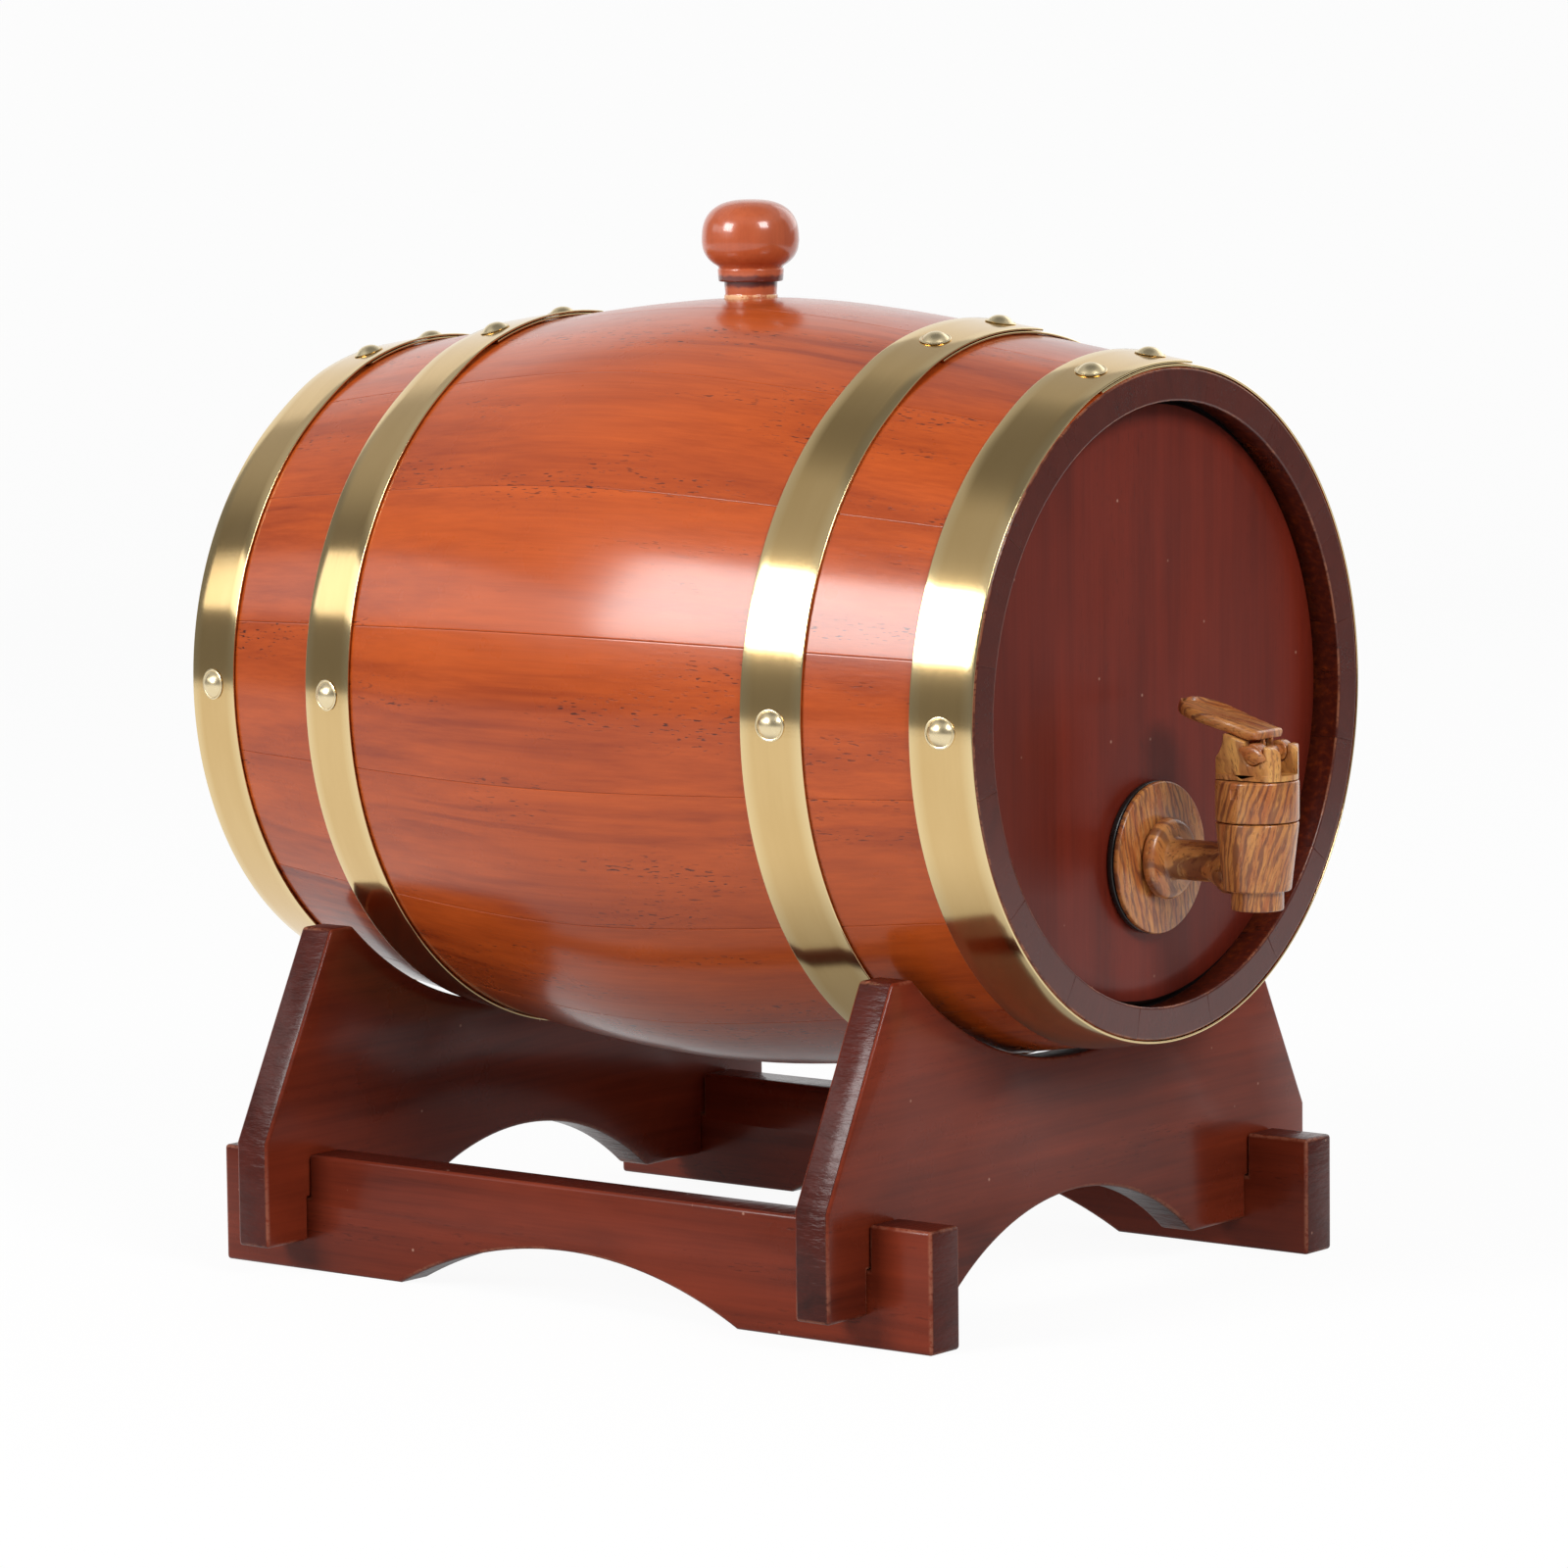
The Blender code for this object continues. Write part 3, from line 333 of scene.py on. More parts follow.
def noise(tree, place, stretch, detail=4.0, roughness=0.55, distortion=0.0):
    """Noise over a place whose three directions are scaled one by one."""
    scaled = add(tree, "ShaderNodeVectorMath", {0: place, 1: stretch}, operation="MULTIPLY").outputs[0]
    made = add(tree, "ShaderNodeTexNoise", {"Vector": scaled, "Scale": 1.0, "Detail": detail,
                                            "Roughness": roughness, "Distortion": distortion})
    return made.outputs["Fac"]


# %% Helper: start a shader node group with named sockets
SOCKETS = {"value": "NodeSocketFloat", "colour": "NodeSocketColor", "place": "NodeSocketVector"}


def group(name, inputs, outputs):
    """inputs maps a name to (kind, default). Returns the tree, its inputs and its output node."""
    tree = bpy.data.node_groups.new(name, "ShaderNodeTree")
    for title, (kind, default) in inputs.items():
        socket = tree.interface.new_socket(title, in_out="INPUT", socket_type=SOCKETS[kind])
        if default is not None:
            socket.default_value = default
    for title, kind in outputs.items():
        tree.interface.new_socket(title, in_out="OUTPUT", socket_type=SOCKETS[kind])
    entry = tree.nodes.new("NodeGroupInput")
    leave = tree.nodes.new("NodeGroupOutput")
    return tree, entry.outputs, leave


def use(tree, made, **values):
    """Place a group in a material, with its values given by name."""
    node = tree.nodes.new("ShaderNodeGroup")
    node.node_tree = made
    for title, value in values.items():
        socket = node.inputs[title.replace("_", " ")]
        if isinstance(value, bpy.types.NodeSocket):
            tree.links.new(value, socket)
        else:
            socket.default_value = value
    return node.outputs


# %% [markdown]
# ## Effect: wood grain
# Stained softwood under varnish shows three things, at three sizes: slow shifts of tone along a
# board, wavy bands where the growth rings were cut, and short dark pores. All three are stretched
# along the board. The bands come from a sine of the distance across the board, pushed about by
# noise, which gives the long flame shapes that a plain stripe pattern can't.

# %% Group: wood grain
def wood_grain():
    tree, get, leave = group("wood_grain", {
        "Place": ("place", None), "Light": ("colour", (0.5, 0.2, 0.1, 1)), "Dark": ("colour", (0.2, 0.05, 0.02, 1)),
        "Ring spacing": ("value", 0.006), "Ring depth": ("value", 0.5), "Pores": ("value", 0.5),
        "Drift": ("value", 0.5)}, {"Colour": "colour", "Height": "value", "Pore mask": "value"})
    place = get["Place"]
    parts = add(tree, "ShaderNodeSeparateXYZ", {0: place}).outputs
    drift = noise(tree, place, (6.0, 26.0, 20.0), 4.0, 0.6)
    wander = noise(tree, place, (4.0, 24.0, 20.0), 2.0, distortion=0.3)
    across = maths(tree, "DIVIDE", parts["Y"], get["Ring spacing"])
    pushed = maths(tree, "MULTIPLY_ADD", wander, 7.0, across)
    bands = maths(tree, "SINE", maths(tree, "MULTIPLY", pushed, math.tau))
    late = ramp(tree, bands, -0.1, 1.0)
    fibre = noise(tree, place, (14.0, 720.0, 600.0), 4.0, 0.7)
    fibres = ramp(tree, fibre, 0.34, 0.68)
    streak = ramp(tree, noise(tree, place, (7.0, 150.0, 130.0), 3.0, 0.6), 0.38, 0.70)
    patchy = ramp(tree, noise(tree, place, (4.0, 22.0, 22.0), 2.0), 0.50, 0.72)
    ring_mask = maths(tree, "MULTIPLY", late, maths(tree, "MULTIPLY", get["Ring depth"], patchy))
    pore_noise = noise(tree, place, (240.0, 1500.0, 1500.0), 1.0, 0.5)
    pore_field = ramp(tree, noise(tree, place, (10.0, 60.0, 60.0), 3.0), 0.50, 0.66)
    pore = maths(tree, "MULTIPLY", ramp(tree, pore_noise, 0.62, 0.70), pore_field)
    pore = maths(tree, "MULTIPLY", pore, get["Pores"])
    depth = maths(tree, "MULTIPLY_ADD", fibres, 0.16, maths(tree, "MULTIPLY", ring_mask, 0.75))
    depth = maths(tree, "MULTIPLY_ADD", streak, 0.20, depth)
    tone = maths(tree, "MULTIPLY", ramp(tree, drift, 0.30, 0.72), get["Drift"])
    depth = maths(tree, "MULTIPLY_ADD", tone, 0.7, depth, clamp=True)
    base = blended(tree, depth, get["Light"], get["Dark"])
    darkest = blended(tree, 0.80, get["Dark"], (0.012, 0.004, 0.003, 1.0))
    tree.links.new(blended(tree, pore, base, darkest), leave.inputs["Colour"])
    height = maths(tree, "SUBTRACT", maths(tree, "MULTIPLY", fibre, 0.65), pore)
    tree.links.new(height, leave.inputs["Height"])
    tree.links.new(pore, leave.inputs["Pore mask"])
    return tree


WOOD_GRAIN = wood_grain()
print("wood grain nodes:", len(WOOD_GRAIN.nodes))

# %% [markdown]
# ## Effect: varnish that is rubbed thin on the edges
# On an edge the stain wears through to paler wood, but never evenly. The "rim" value says where
# the edges are, and noise breaks it up. The same group gives the varnish's uneven gloss.

# %% Group: rubbed edges
def rubbed_edges():
    tree, get, leave = group("rubbed_edges", {
        "Place": ("place", None), "Colour": ("colour", (0.2, 0.05, 0.02, 1)), "Worn": ("colour", (0.5, 0.3, 0.2, 1)),
        "Rim": ("value", 0.0), "Amount": ("value", 0.5), "Gloss": ("value", 0.3)},
        {"Colour": "colour", "Roughness": "value"})
    broken = ramp(tree, noise(tree, get["Place"], (60.0, 60.0, 60.0), 5.0, 0.7), 0.40, 0.58)
    fine = ramp(tree, noise(tree, get["Place"], (900.0, 900.0, 900.0), 2.0), 0.30, 0.5)
    mask = maths(tree, "MULTIPLY", maths(tree, "MULTIPLY", get["Rim"], broken), fine)
    mask = maths(tree, "MULTIPLY", mask, get["Amount"], clamp=True)
    tree.links.new(blended(tree, mask, get["Colour"], get["Worn"]), leave.inputs["Colour"])
    smear = ramp(tree, noise(tree, get["Place"], (24.0, 24.0, 24.0), 5.0, 0.6), 0.3, 0.7, -0.05, 0.07)
    rough = maths(tree, "ADD", get["Gloss"], smear)
    tree.links.new(maths(tree, "MULTIPLY_ADD", mask, 0.3, rough, clamp=True), leave.inputs["Roughness"])
    return tree


RUBBED_EDGES = rubbed_edges()

# %% [markdown]
# ## Effect: fine dust and specks
# Varnished wood in a studio always carries a few pale specks. They are tiny cells of a Voronoi
# pattern: only the very middle of a few of the cells is coloured.

# %% Group: specks
def specks():
    tree, get, leave = group("specks", {
        "Place": ("place", None), "Spacing": ("value", 0.006), "Share": ("value", 0.3)}, {"Mask": "value"})
    size = maths(tree, "DIVIDE", 1.0, get["Spacing"])
    cells = add(tree, "ShaderNodeTexVoronoi", {"Vector": get["Place"], "Scale": size})
    dots = ramp(tree, cells.outputs["Distance"], 0.10, 0.03)
    chance = add(tree, "ShaderNodeSeparateXYZ", {0: cells.outputs["Color"]}).outputs["X"]
    chosen = maths(tree, "LESS_THAN", chance, get["Share"])
    tree.links.new(maths(tree, "MULTIPLY", dots, chosen), leave.inputs["Mask"])
    return tree


SPECKS = specks()

# %% [markdown]
# ## Finish: varnished wood
# Every wooden part has the same build-up, stain under clear varnish, with other colours. The stain
# is the base colour, and the varnish is the shader's coat: a second, smoother gloss on top.

# %% Material: varnished wood
def shader_of(name):
    made = bpy.data.materials.new(name)
    made.use_nodes = True
    return made, made.node_tree, made.node_tree.nodes["Principled BSDF"]


def attribute(tree, name):
    return add(tree, "ShaderNodeAttribute", attribute_type="GEOMETRY", attribute_name=name)


def varnished_wood(name, light, dark, worn, spacing, depth, pores, drift, gloss, coat, wear, dust=0.0,
                   stain=None, bump=0.00006, shine=0.45, smooth=0.19, sawn=0.0):
    made, tree, shader = shader_of(name)
    place = attribute(tree, "timber").outputs["Vector"]
    rim = attribute(tree, "rim").outputs["Fac"]
    grain = use(tree, WOOD_GRAIN, Place=place, Light=linear(light), Dark=linear(dark), Ring_spacing=spacing,
                Ring_depth=depth, Pores=pores, Drift=drift)
    colour, height = grain["Colour"], grain["Height"]
    if stain is not None:
        end = attribute(tree, "stain").outputs["Fac"]
        soft = ramp(tree, maths(tree, "MULTIPLY_ADD", noise(tree, place, (420.0, 420.0, 420.0)), 0.5, end), 0.55, 0.95)
        second = use(tree, WOOD_GRAIN, Place=place, Light=linear(stain[0]), Dark=linear(stain[1]), Ring_spacing=spacing,
                     Ring_depth=depth, Pores=pores, Drift=drift)
        colour = blended(tree, soft, colour, second["Colour"])
        marks = noise(tree, place, (330.0, 330.0, 90.0), 3.0, 0.6)
        height = maths(tree, "MULTIPLY_ADD", maths(tree, "MULTIPLY", marks, soft), sawn / bump, height)
    edges = use(tree, RUBBED_EDGES, Place=place, Colour=colour, Worn=linear(worn), Rim=rim, Amount=wear, Gloss=gloss)
    colour = edges["Colour"]
    if dust > 0:
        mask = use(tree, SPECKS, Place=place, Spacing=0.0065, Share=dust)["Mask"]
        colour = blended(tree, maths(tree, "MULTIPLY", mask, 0.6), colour, linear((196, 150, 130)))
    tree.links.new(colour, shader.inputs["Base Color"])
    tree.links.new(edges["Roughness"], shader.inputs["Roughness"])
    raised = add(tree, "ShaderNodeBump", {"Height": height, "Distance": bump, "Strength": 0.6})
    tree.links.new(raised.outputs["Normal"], shader.inputs["Normal"])
    shader.inputs["Specular IOR Level"].default_value = shine
    shader.inputs["Coat Weight"].default_value = coat
    shader.inputs["Coat Roughness"].default_value = smooth
    shader.inputs["Coat IOR"].default_value = 1.5
    return made


STAVE_WOOD = varnished_wood(
    "stave_wood", (193, 85, 29), (122, 38, 12), (186, 116, 78), 0.0085, 0.50, 0.9, 0.62, 0.30, 0.68, 0.5,
    stain=((88, 32, 21), (70, 24, 16)), bump=0.00013, shine=0.12, smooth=0.165)
HEAD_WOOD = varnished_wood(
    "head_wood", (124, 41, 25), (80, 25, 16), (190, 140, 110), 0.011, 0.20, 0.25, 0.85, 0.36, 0.12, 0.8, dust=0.20,
    shine=0.2)
STAND_WOOD = varnished_wood(
    "stand_wood", (130, 50, 28), (72, 24, 14), (150, 92, 70), 0.012, 0.35, 0.40, 0.80, 0.30, 0.22, 0.8, dust=0.12,
    stain=((84, 30, 21), (50, 18, 13)), shine=0.12, smooth=0.16, sawn=0.0012)
# The bung's second colours darken the lip under the knob: a painted shade.
BUNG_WOOD = varnished_wood(
    "bung_wood", (196, 98, 58), (158, 68, 36), (232, 178, 128), 0.0075, 0.30, 0.10, 0.5, 0.22, 0.6, 0.55,
    stain=((112, 46, 34), (78, 30, 26)), smooth=0.10)
print("wood finishes:", STAVE_WOOD.name, HEAD_WOOD.name, STAND_WOOD.name, BUNG_WOOD.name)

# %% [markdown]
# ## Finish: brass
# The hoops are rolled brass strip, brushed along their length, so a lamp shows as a clean band
# across the strip with fine streaks in it. The nails are polished and only slightly uneven.

# %% Material: brass
def brass(name, colour, shade, rough, streaks, bump):
    made, tree, shader = shader_of(name)
    place = attribute(tree, "timber").outputs["Vector"]
    rim = attribute(tree, "rim").outputs["Fac"]
    brushed = noise(tree, place, streaks, 3.0, 0.6)
    cloudy = ramp(tree, noise(tree, place, (22.0, 60.0, 60.0), 4.0), 0.3, 0.75)
    tint = blended(tree, maths(tree, "MULTIPLY_ADD", brushed, 0.35, maths(tree, "MULTIPLY", cloudy, 0.35)),
                   linear(colour), linear(shade))
    # Paler where rim is 1, on the hoops' edges: a painted highlight.
    tint = blended(tree, maths(tree, "MULTIPLY", rim, 0.55), tint, linear((238, 218, 170)))
    tree.links.new(tint, shader.inputs["Base Color"])
    tree.links.new(maths(tree, "MULTIPLY_ADD", brushed, 0.08, rough - 0.03), shader.inputs["Roughness"])
    raised = add(tree, "ShaderNodeBump", {"Height": brushed, "Distance": bump, "Strength": 0.5})
    tree.links.new(raised.outputs["Normal"], shader.inputs["Normal"])
    shader.inputs["Metallic"].default_value = 1.0
    return made


HOOP_BRASS = brass("hoop_brass", (220, 189, 134), (204, 170, 112), 0.115, (60.0, 3600.0, 900.0), 0.000007)
NAIL_BRASS = brass("nail_brass", (240, 224, 186), (224, 200, 152), 0.27, (500.0, 500.0, 500.0), 0.00001)
SPRING_STEEL = brass("spring_steel", (192, 192, 196), (150, 150, 156), 0.18, (900.0, 900.0, 900.0), 0.00001)
print("metals:", HOOP_BRASS.name, NAIL_BRASS.name, SPRING_STEEL.name)

# %% [markdown]
# ## Finish: plastic with a printed grain
# The tap is moulded plastic with a film of wood print floated onto it. The print is smooth to the
# touch, so it is colour alone, with dark diagonal stripes and short dashes under a satin gloss.

# %% Material: printed plastic, plain plastic and rubber
def printed_plastic(name, light, middle, dark, slant):
    made, tree, shader = shader_of(name)
    place = attribute(tree, "timber").outputs["Vector"]
    turned_place = add(tree, "ShaderNodeMapping", {"Vector": place, "Rotation": slant}).outputs[0]
    tone = ramp(tree, noise(tree, turned_place, (50.0, 300.0, 300.0), 4.0, 0.6), 0.32, 0.68)
    base = blended(tree, tone, linear(light), linear(middle))
    parts = add(tree, "ShaderNodeSeparateXYZ", {0: turned_place}).outputs
    wander = noise(tree, turned_place, (34.0, 120.0, 120.0), 3.0)
    bands = maths(tree, "SINE", maths(tree, "MULTIPLY_ADD", wander, 30.0, maths(tree, "MULTIPLY", parts["Y"], 2300.0)))
    thin = ramp(tree, bands, 0.0, 0.9)
    gate = ramp(tree, noise(tree, turned_place, (50.0, 260.0, 260.0), 2.0), 0.30, 0.50)
    striped = blended(tree, maths(tree, "MULTIPLY", maths(tree, "MULTIPLY", thin, gate), 0.72), base, linear(dark))
    dashes = ramp(tree, noise(tree, turned_place, (260.0, 2300.0, 2300.0), 3.0, 0.65), 0.53, 0.66)
    colour = blended(tree, maths(tree, "MULTIPLY", dashes, 0.62), striped, linear((92, 44, 30)))
    pale = ramp(tree, noise(tree, turned_place, (180.0, 1500.0, 1500.0), 2.0), 0.60, 0.72)
    colour = blended(tree, maths(tree, "MULTIPLY", pale, 0.45), colour, linear((222, 168, 106)))
    tree.links.new(colour, shader.inputs["Base Color"])
    rough = ramp(tree, noise(tree, place, (160.0, 160.0, 160.0), 4.0), 0.3, 0.7, 0.26, 0.36)
    tree.links.new(rough, shader.inputs["Roughness"])
    raised = add(tree, "ShaderNodeBump", {"Height": tone, "Distance": 0.00003, "Strength": 0.4})
    tree.links.new(raised.outputs["Normal"], shader.inputs["Normal"])
    shader.inputs["Coat Weight"].default_value = 0.25
    shader.inputs["Coat Roughness"].default_value = 0.12
    return made


def plain_plastic(name, light, dark, rough, grain):
    made, tree, shader = shader_of(name)
    place = attribute(tree, "timber").outputs["Vector"]
    mottled = ramp(tree, noise(tree, place, (grain, grain * 2.5, grain * 2.5), 4.0, distortion=0.6), 0.3, 0.7)
    tree.links.new(blended(tree, mottled, linear(light), linear(dark)), shader.inputs["Base Color"])
    uneven = ramp(tree, noise(tree, place, (500.0, 500.0, 500.0), 3.0), 0.3, 0.7, rough - 0.05, rough + 0.06)
    tree.links.new(uneven, shader.inputs["Roughness"])
    raised = add(tree, "ShaderNodeBump", {"Height": mottled, "Distance": 0.00002, "Strength": 0.4})
    tree.links.new(raised.outputs["Normal"], shader.inputs["Normal"])
    return made


TAP_PRINT = printed_plastic("tap_print", (210, 142, 76), (176, 98, 50), (108, 58, 42), (0.0, 0.0, 0.25))
# The fork's print is lighter than the body's: partly its own tone, partly painted light that lifts it out of the
# lever's shadow.
FORK_PRINT_LIGHTENED = printed_plastic("fork_print_lightened", (226, 168, 94), (210, 142, 74), (164, 100, 58), (0.0, 0.4, 0.1))
NUT_PLASTIC = plain_plastic("nut_plastic", (204, 160, 92), (186, 140, 76), 0.42, 60.0)
SEAL_RUBBER = plain_plastic("seal_rubber", (34, 29, 27), (20, 17, 16), 0.30, 300.0)
print("tap finishes:", TAP_PRINT.name, FORK_PRINT_LIGHTENED.name, NUT_PLASTIC.name, SEAL_RUBBER.name)

# %% [markdown]
# ## Staves
# Each stave is a board bent over its length and hollowed across its width. It is lofted along the
# cask through closed sections with rounded corners, so a fine dark seam shows between two staves.
# The dark stain of the cask's ends covers each stave's end, where "stain" is 1. On the inside wall "stain" is lower, so
# the wall is lighter: partly its redder wood, partly painted light for a wall that sits in shade.

# %% Staves
SEAM = 0.00004
CORNER = 0.00009
END_ROUND = 0.0007
GROOVE = (0.13475, 0.13935)
GROOVE_DEPTH = 0.0036
ARC_SHARES = (-1.0, -0.985, -0.75, -0.5, -0.25, 0.0, 0.25, 0.5, 0.75, 0.985, 1.0)


def stave_stations():
    """(distance, inset) along the cask. The inset rounds the last millimetre of each end."""
    bends = [HALF_LENGTH * step / 22 for step in range(22)]
    bends = [y for y in bends if y < GROOVE[0] - 0.002]
    ease = []
    for step in range(5):
        angle = math.pi / 2 * step / 4
        ease.append((HALF_LENGTH - END_ROUND * (1 - math.sin(angle)), END_ROUND * (1 - math.cos(angle))))
    ease.append((HALF_LENGTH, END_ROUND + 0.0004))
    half = [(y, 0.0) for y in bends] + [(GROOVE[0] - 0.0001, 0.0), (GROOVE[0], 0.0), (GROOVE[1], 0.0)]
    half += [(GROOVE[1] + 0.0001, 0.0)] + ease
    return [(-y, inset) for y, inset in half[:0:-1]] + half


def stave_ring(y, inset, middle):
    """The closed section of a stave at one station, in cask coordinates."""
    outer = stave_radius(y) - inset
    grooved = GROOVE[0] <= abs(y) <= GROOVE[1]
    inner = stave_radius(y) - STAVE_THICKNESS + inset + (GROOVE_DEPTH if grooved else 0.0)
    half = STAVE_ANGLE / 2 - max(inset - END_ROUND, 0.0) / outer
    points = []
    for share in ARC_SHARES:
        points.append((share * (half - (SEAM + CORNER) / outer), outer))
    tail = [(half - (SEAM + CORNER * 0.3) / outer, outer - CORNER * 0.3), (half - SEAM / outer, outer - CORNER)]
    tail += [(share * (half - SEAM / inner), inner) for share in (1.0, 0.67, 0.33, 0.0, -0.33, -0.67, -1.0)]
    tail += [(-half + SEAM / outer, outer - CORNER), (-half + (SEAM + CORNER * 0.3) / outer, outer - CORNER * 0.3)]
    ring = []
    for angle, radius in points + tail:
        around = middle + angle
        ring.append(Vector((radius * math.cos(around), y, radius * math.sin(around))))
    return ring


def stave_timber(number, middle):
    """Each stave is its own board, so its grain starts somewhere else."""
    def place(point):
        local = CASK.inverted() @ point
        radius = math.hypot(local.x, local.z)
        around = (math.atan2(local.z, local.x) - middle + math.pi) % math.tau - math.pi
        return (local.y + 0.61 * number, around * BELLY_RADIUS + 0.173 * number, radius)
    return place


def end_rim(point):
    """1 on the rounded edges of the cask's ends."""
    local = CASK.inverted() @ point
    depth = HALF_LENGTH - abs(local.y)
    face = stave_radius(local.y)
    radius = math.hypot(local.x, local.z)
    near_edge = min(abs(face - radius), abs(face - STAVE_THICKNESS - radius))
    return 1.0 if 0.00005 < depth < END_ROUND * 0.9 and near_edge < END_ROUND else 0.0


def stain_and_painted_wall_light(point):
    local = CASK.inverted() @ point
    radius = math.hypot(local.x, local.z)
    outside = radius > stave_radius(local.y) - 0.0006
    if outside and abs(local.y) < HALF_LENGTH - END_ROUND * 0.4:
        return 0.0
    wall = radius < stave_radius(local.y) - STAVE_THICKNESS + 0.0003 and abs(local.y) < HALF_LENGTH - END_ROUND * 0.4
    # The inside wall gets 0.64, not 1: a lighter stain, partly painted light that stands in for light the shaded wall
    # doesn't get.
    return 0.64 if wall else 1.0


BUNG_Y = 0.0065
BUNG_NECK = 0.0083
staves = []
for number in range(STAVES):
    middle = math.pi / 2 - number * STAVE_ANGLE
    bm = lofted([[CASK @ p for p in stave_ring(y, inset, middle)] for y, inset in stave_stations()])
    hole = None
    if number == 0:
        drill = [(0, -0.02), (BUNG_NECK + FIT, -0.02), (BUNG_NECK + FIT, 0.02), (0, 0.02)]
        hole = turned(drill, 64, CASK @ Matrix.Translation((0, BUNG_Y, BELLY_RADIUS)))
    made = piece(f"stave_{number + 1:02d}_board", bm, STAVE_WOOD, f"stave_{number + 1:02d}",
                 stave_timber(number, middle), end_rim, hole)
    stain = made.data.attributes.new("stain", "FLOAT", "POINT")
    stain.data.foreach_set("value", np.array([stain_and_painted_wall_light(v.co) for v in made.data.vertices], dtype="f"))
    staves.append(made)
print("staves:", len(staves), "points each:", len(staves[1].data.vertices))

# %% [markdown]
# ## Heads
# A head is a turned disc. Its edge is bevelled to a tongue that sits in the staves' groove, and the
# bevel is filled with dark caulk, so a dark ring runs round it inside the chime.

# %% Caulk
CAULK_WIDTH = 0.0026


def caulked(base):
    """The head's wood with dark, grainy caulk near its edge, where "rim" is 1."""
    made = base.copy()
    made.name = "head_wood_caulked"
    tree = made.node_tree
    shader = tree.nodes["Principled BSDF"]
    place = attribute(tree, "timber").outputs["Vector"]
    edge = attribute(tree, "caulk").outputs["Fac"]
    ragged = maths(tree, "MULTIPLY_ADD", noise(tree, place, (300.0, 300.0, 300.0), 4.0), 0.5, edge)
    mask = ramp(tree, ragged, 0.62, 0.82)
    for title, value in (("Base Color", linear((24, 15, 14))), ("Roughness", (0.75, 0.75, 0.75, 1.0))):
        socket = shader.inputs[title]
        source = socket.links[0].from_socket
        tree.links.new(blended(tree, mask, source, value), socket)
    return made


HEAD_CAULKED = caulked(HEAD_WOOD)

# %% Heads
HEAD_RADIUS = stave_radius(HALF_LENGTH) - STAVE_THICKNESS
TONGUE_FACE = 0.139


def head_profile():
    """(radius, height) with the outer face at height 0."""
    front = stave_radius(HEAD_FACE) - STAVE_THICKNESS - FIT
    deep = HEAD_FACE - TONGUE_FACE
    groove = stave_radius(TONGUE_FACE) - STAVE_THICKNESS + 0.0028
    rings = [front * share for share in (0.25, 0.5, 0.75, 0.9)]
    edge = [(front - 0.0024, 0.0), (front - 0.0012, -0.0010), (front, -deep), (groove, -deep), (groove, -deep - 0.004)]
    back = [(front - 0.0004, -deep - 0.004), (front - 0.0026, -HEAD_THICKNESS)]
    return [(0.0, 0.0)] + [(r, 0.0) for r in rings] + softened(edge, 0.0005, 2) + back + [(0.0, -HEAD_THICKNESS)]


for label, sign in (("front", -1), ("rear", 1)):
    matrix = CASK @ Matrix.Translation((0, sign * HEAD_FACE, 0)) @ Matrix.Rotation(-sign * math.pi / 2, 4, "X")
    radius_of = stave_radius(HEAD_FACE) - STAVE_THICKNESS
    made = piece(f"head_{label}_disc", turned(head_profile(), 160, matrix), HEAD_CAULKED, f"head_{label}",
                 lambda p, s=sign: (p.z + 0.3 * s, p.x + 0.8 * s, p.y))
    edge = made.data.attributes.new("caulk", "FLOAT", "POINT")
    reach = [math.hypot(v.co.x, v.co.z - AXIS_Z) for v in made.data.vertices]
    edge.data.foreach_set("value", np.array([1.0 if r > radius_of - CAULK_WIDTH * 0.75 else 0.0 for r in reach], "f"))
print("heads: radius", round(radius_of, 4))

# %% [markdown]
# ## Hoops and nails
# A hoop is a strip of brass bent to a cone, lapped over its own start near the top and nailed
# through. It is lofted round the cask through a thin section with rounded corners, and the strip
# lifts where it climbs over its start. Two nails hold each lap, and one holds each side.

# %% Hoops
HOOP_WIDTH = 0.020
HOOP_THICKNESS = 0.0007
LAP = (82.5, 110.5)
LAP_STEP = HOOP_THICKNESS + FIT
LAP_EASE = 16.0
HOOPS = {"front_head": (-1, HALF_LENGTH - HOOP_WIDTH), "front_quarter": (-1, 0.0760),
         "rear_quarter": (1, 0.0760), "rear_head": (1, HALF_LENGTH - HOOP_WIDTH)}


def hoop_section(start):
    """(y, rise) round the strip, its long edges rounded."""
    edge = HOOP_THICKNESS * 0.42
    box = [(start, 0.0), (start + HOOP_WIDTH, 0.0), (start + HOOP_WIDTH, HOOP_THICKNESS), (start, HOOP_THICKNESS)]
    outline = softened(box, edge, 3, closed=True)
    top = [(start + HOOP_WIDTH * share, HOOP_THICKNESS) for share in (0.8, 0.6, 0.4, 0.2)]
    return outline[:12] + top + outline[12:]


def hoop_rings(side, start):
    rings = []
    slope = (stave_radius(start) - stave_radius(start + HOOP_WIDTH)) / HOOP_WIDTH
    angle = LAP[0]
    while angle <= LAP[1] + 360.0 + 1e-6:
        t = min(max((angle - (LAP[0] + 360.0 - LAP_EASE)) / LAP_EASE, 0.0), 1.0)
        lift = LAP_STEP * t * t * (3 - 2 * t)
        around = math.radians(LAP[0] + LAP[1] - angle)
        ring = []
        for y, rise in hoop_section(start):
            radius = stave_radius(start) - slope * (y - start) + FIT + lift + rise
            ring.append(CASK @ Vector((radius * math.cos(around), side * y, radius * math.sin(around))))
        rings.append(ring)
        angle += 1.75
    return rings


def hoop_place(point):
    local = CASK.inverted() @ point
    return (math.atan2(local.z, local.x) * CHIME_RADIUS, local.y, math.hypot(local.x, local.z))


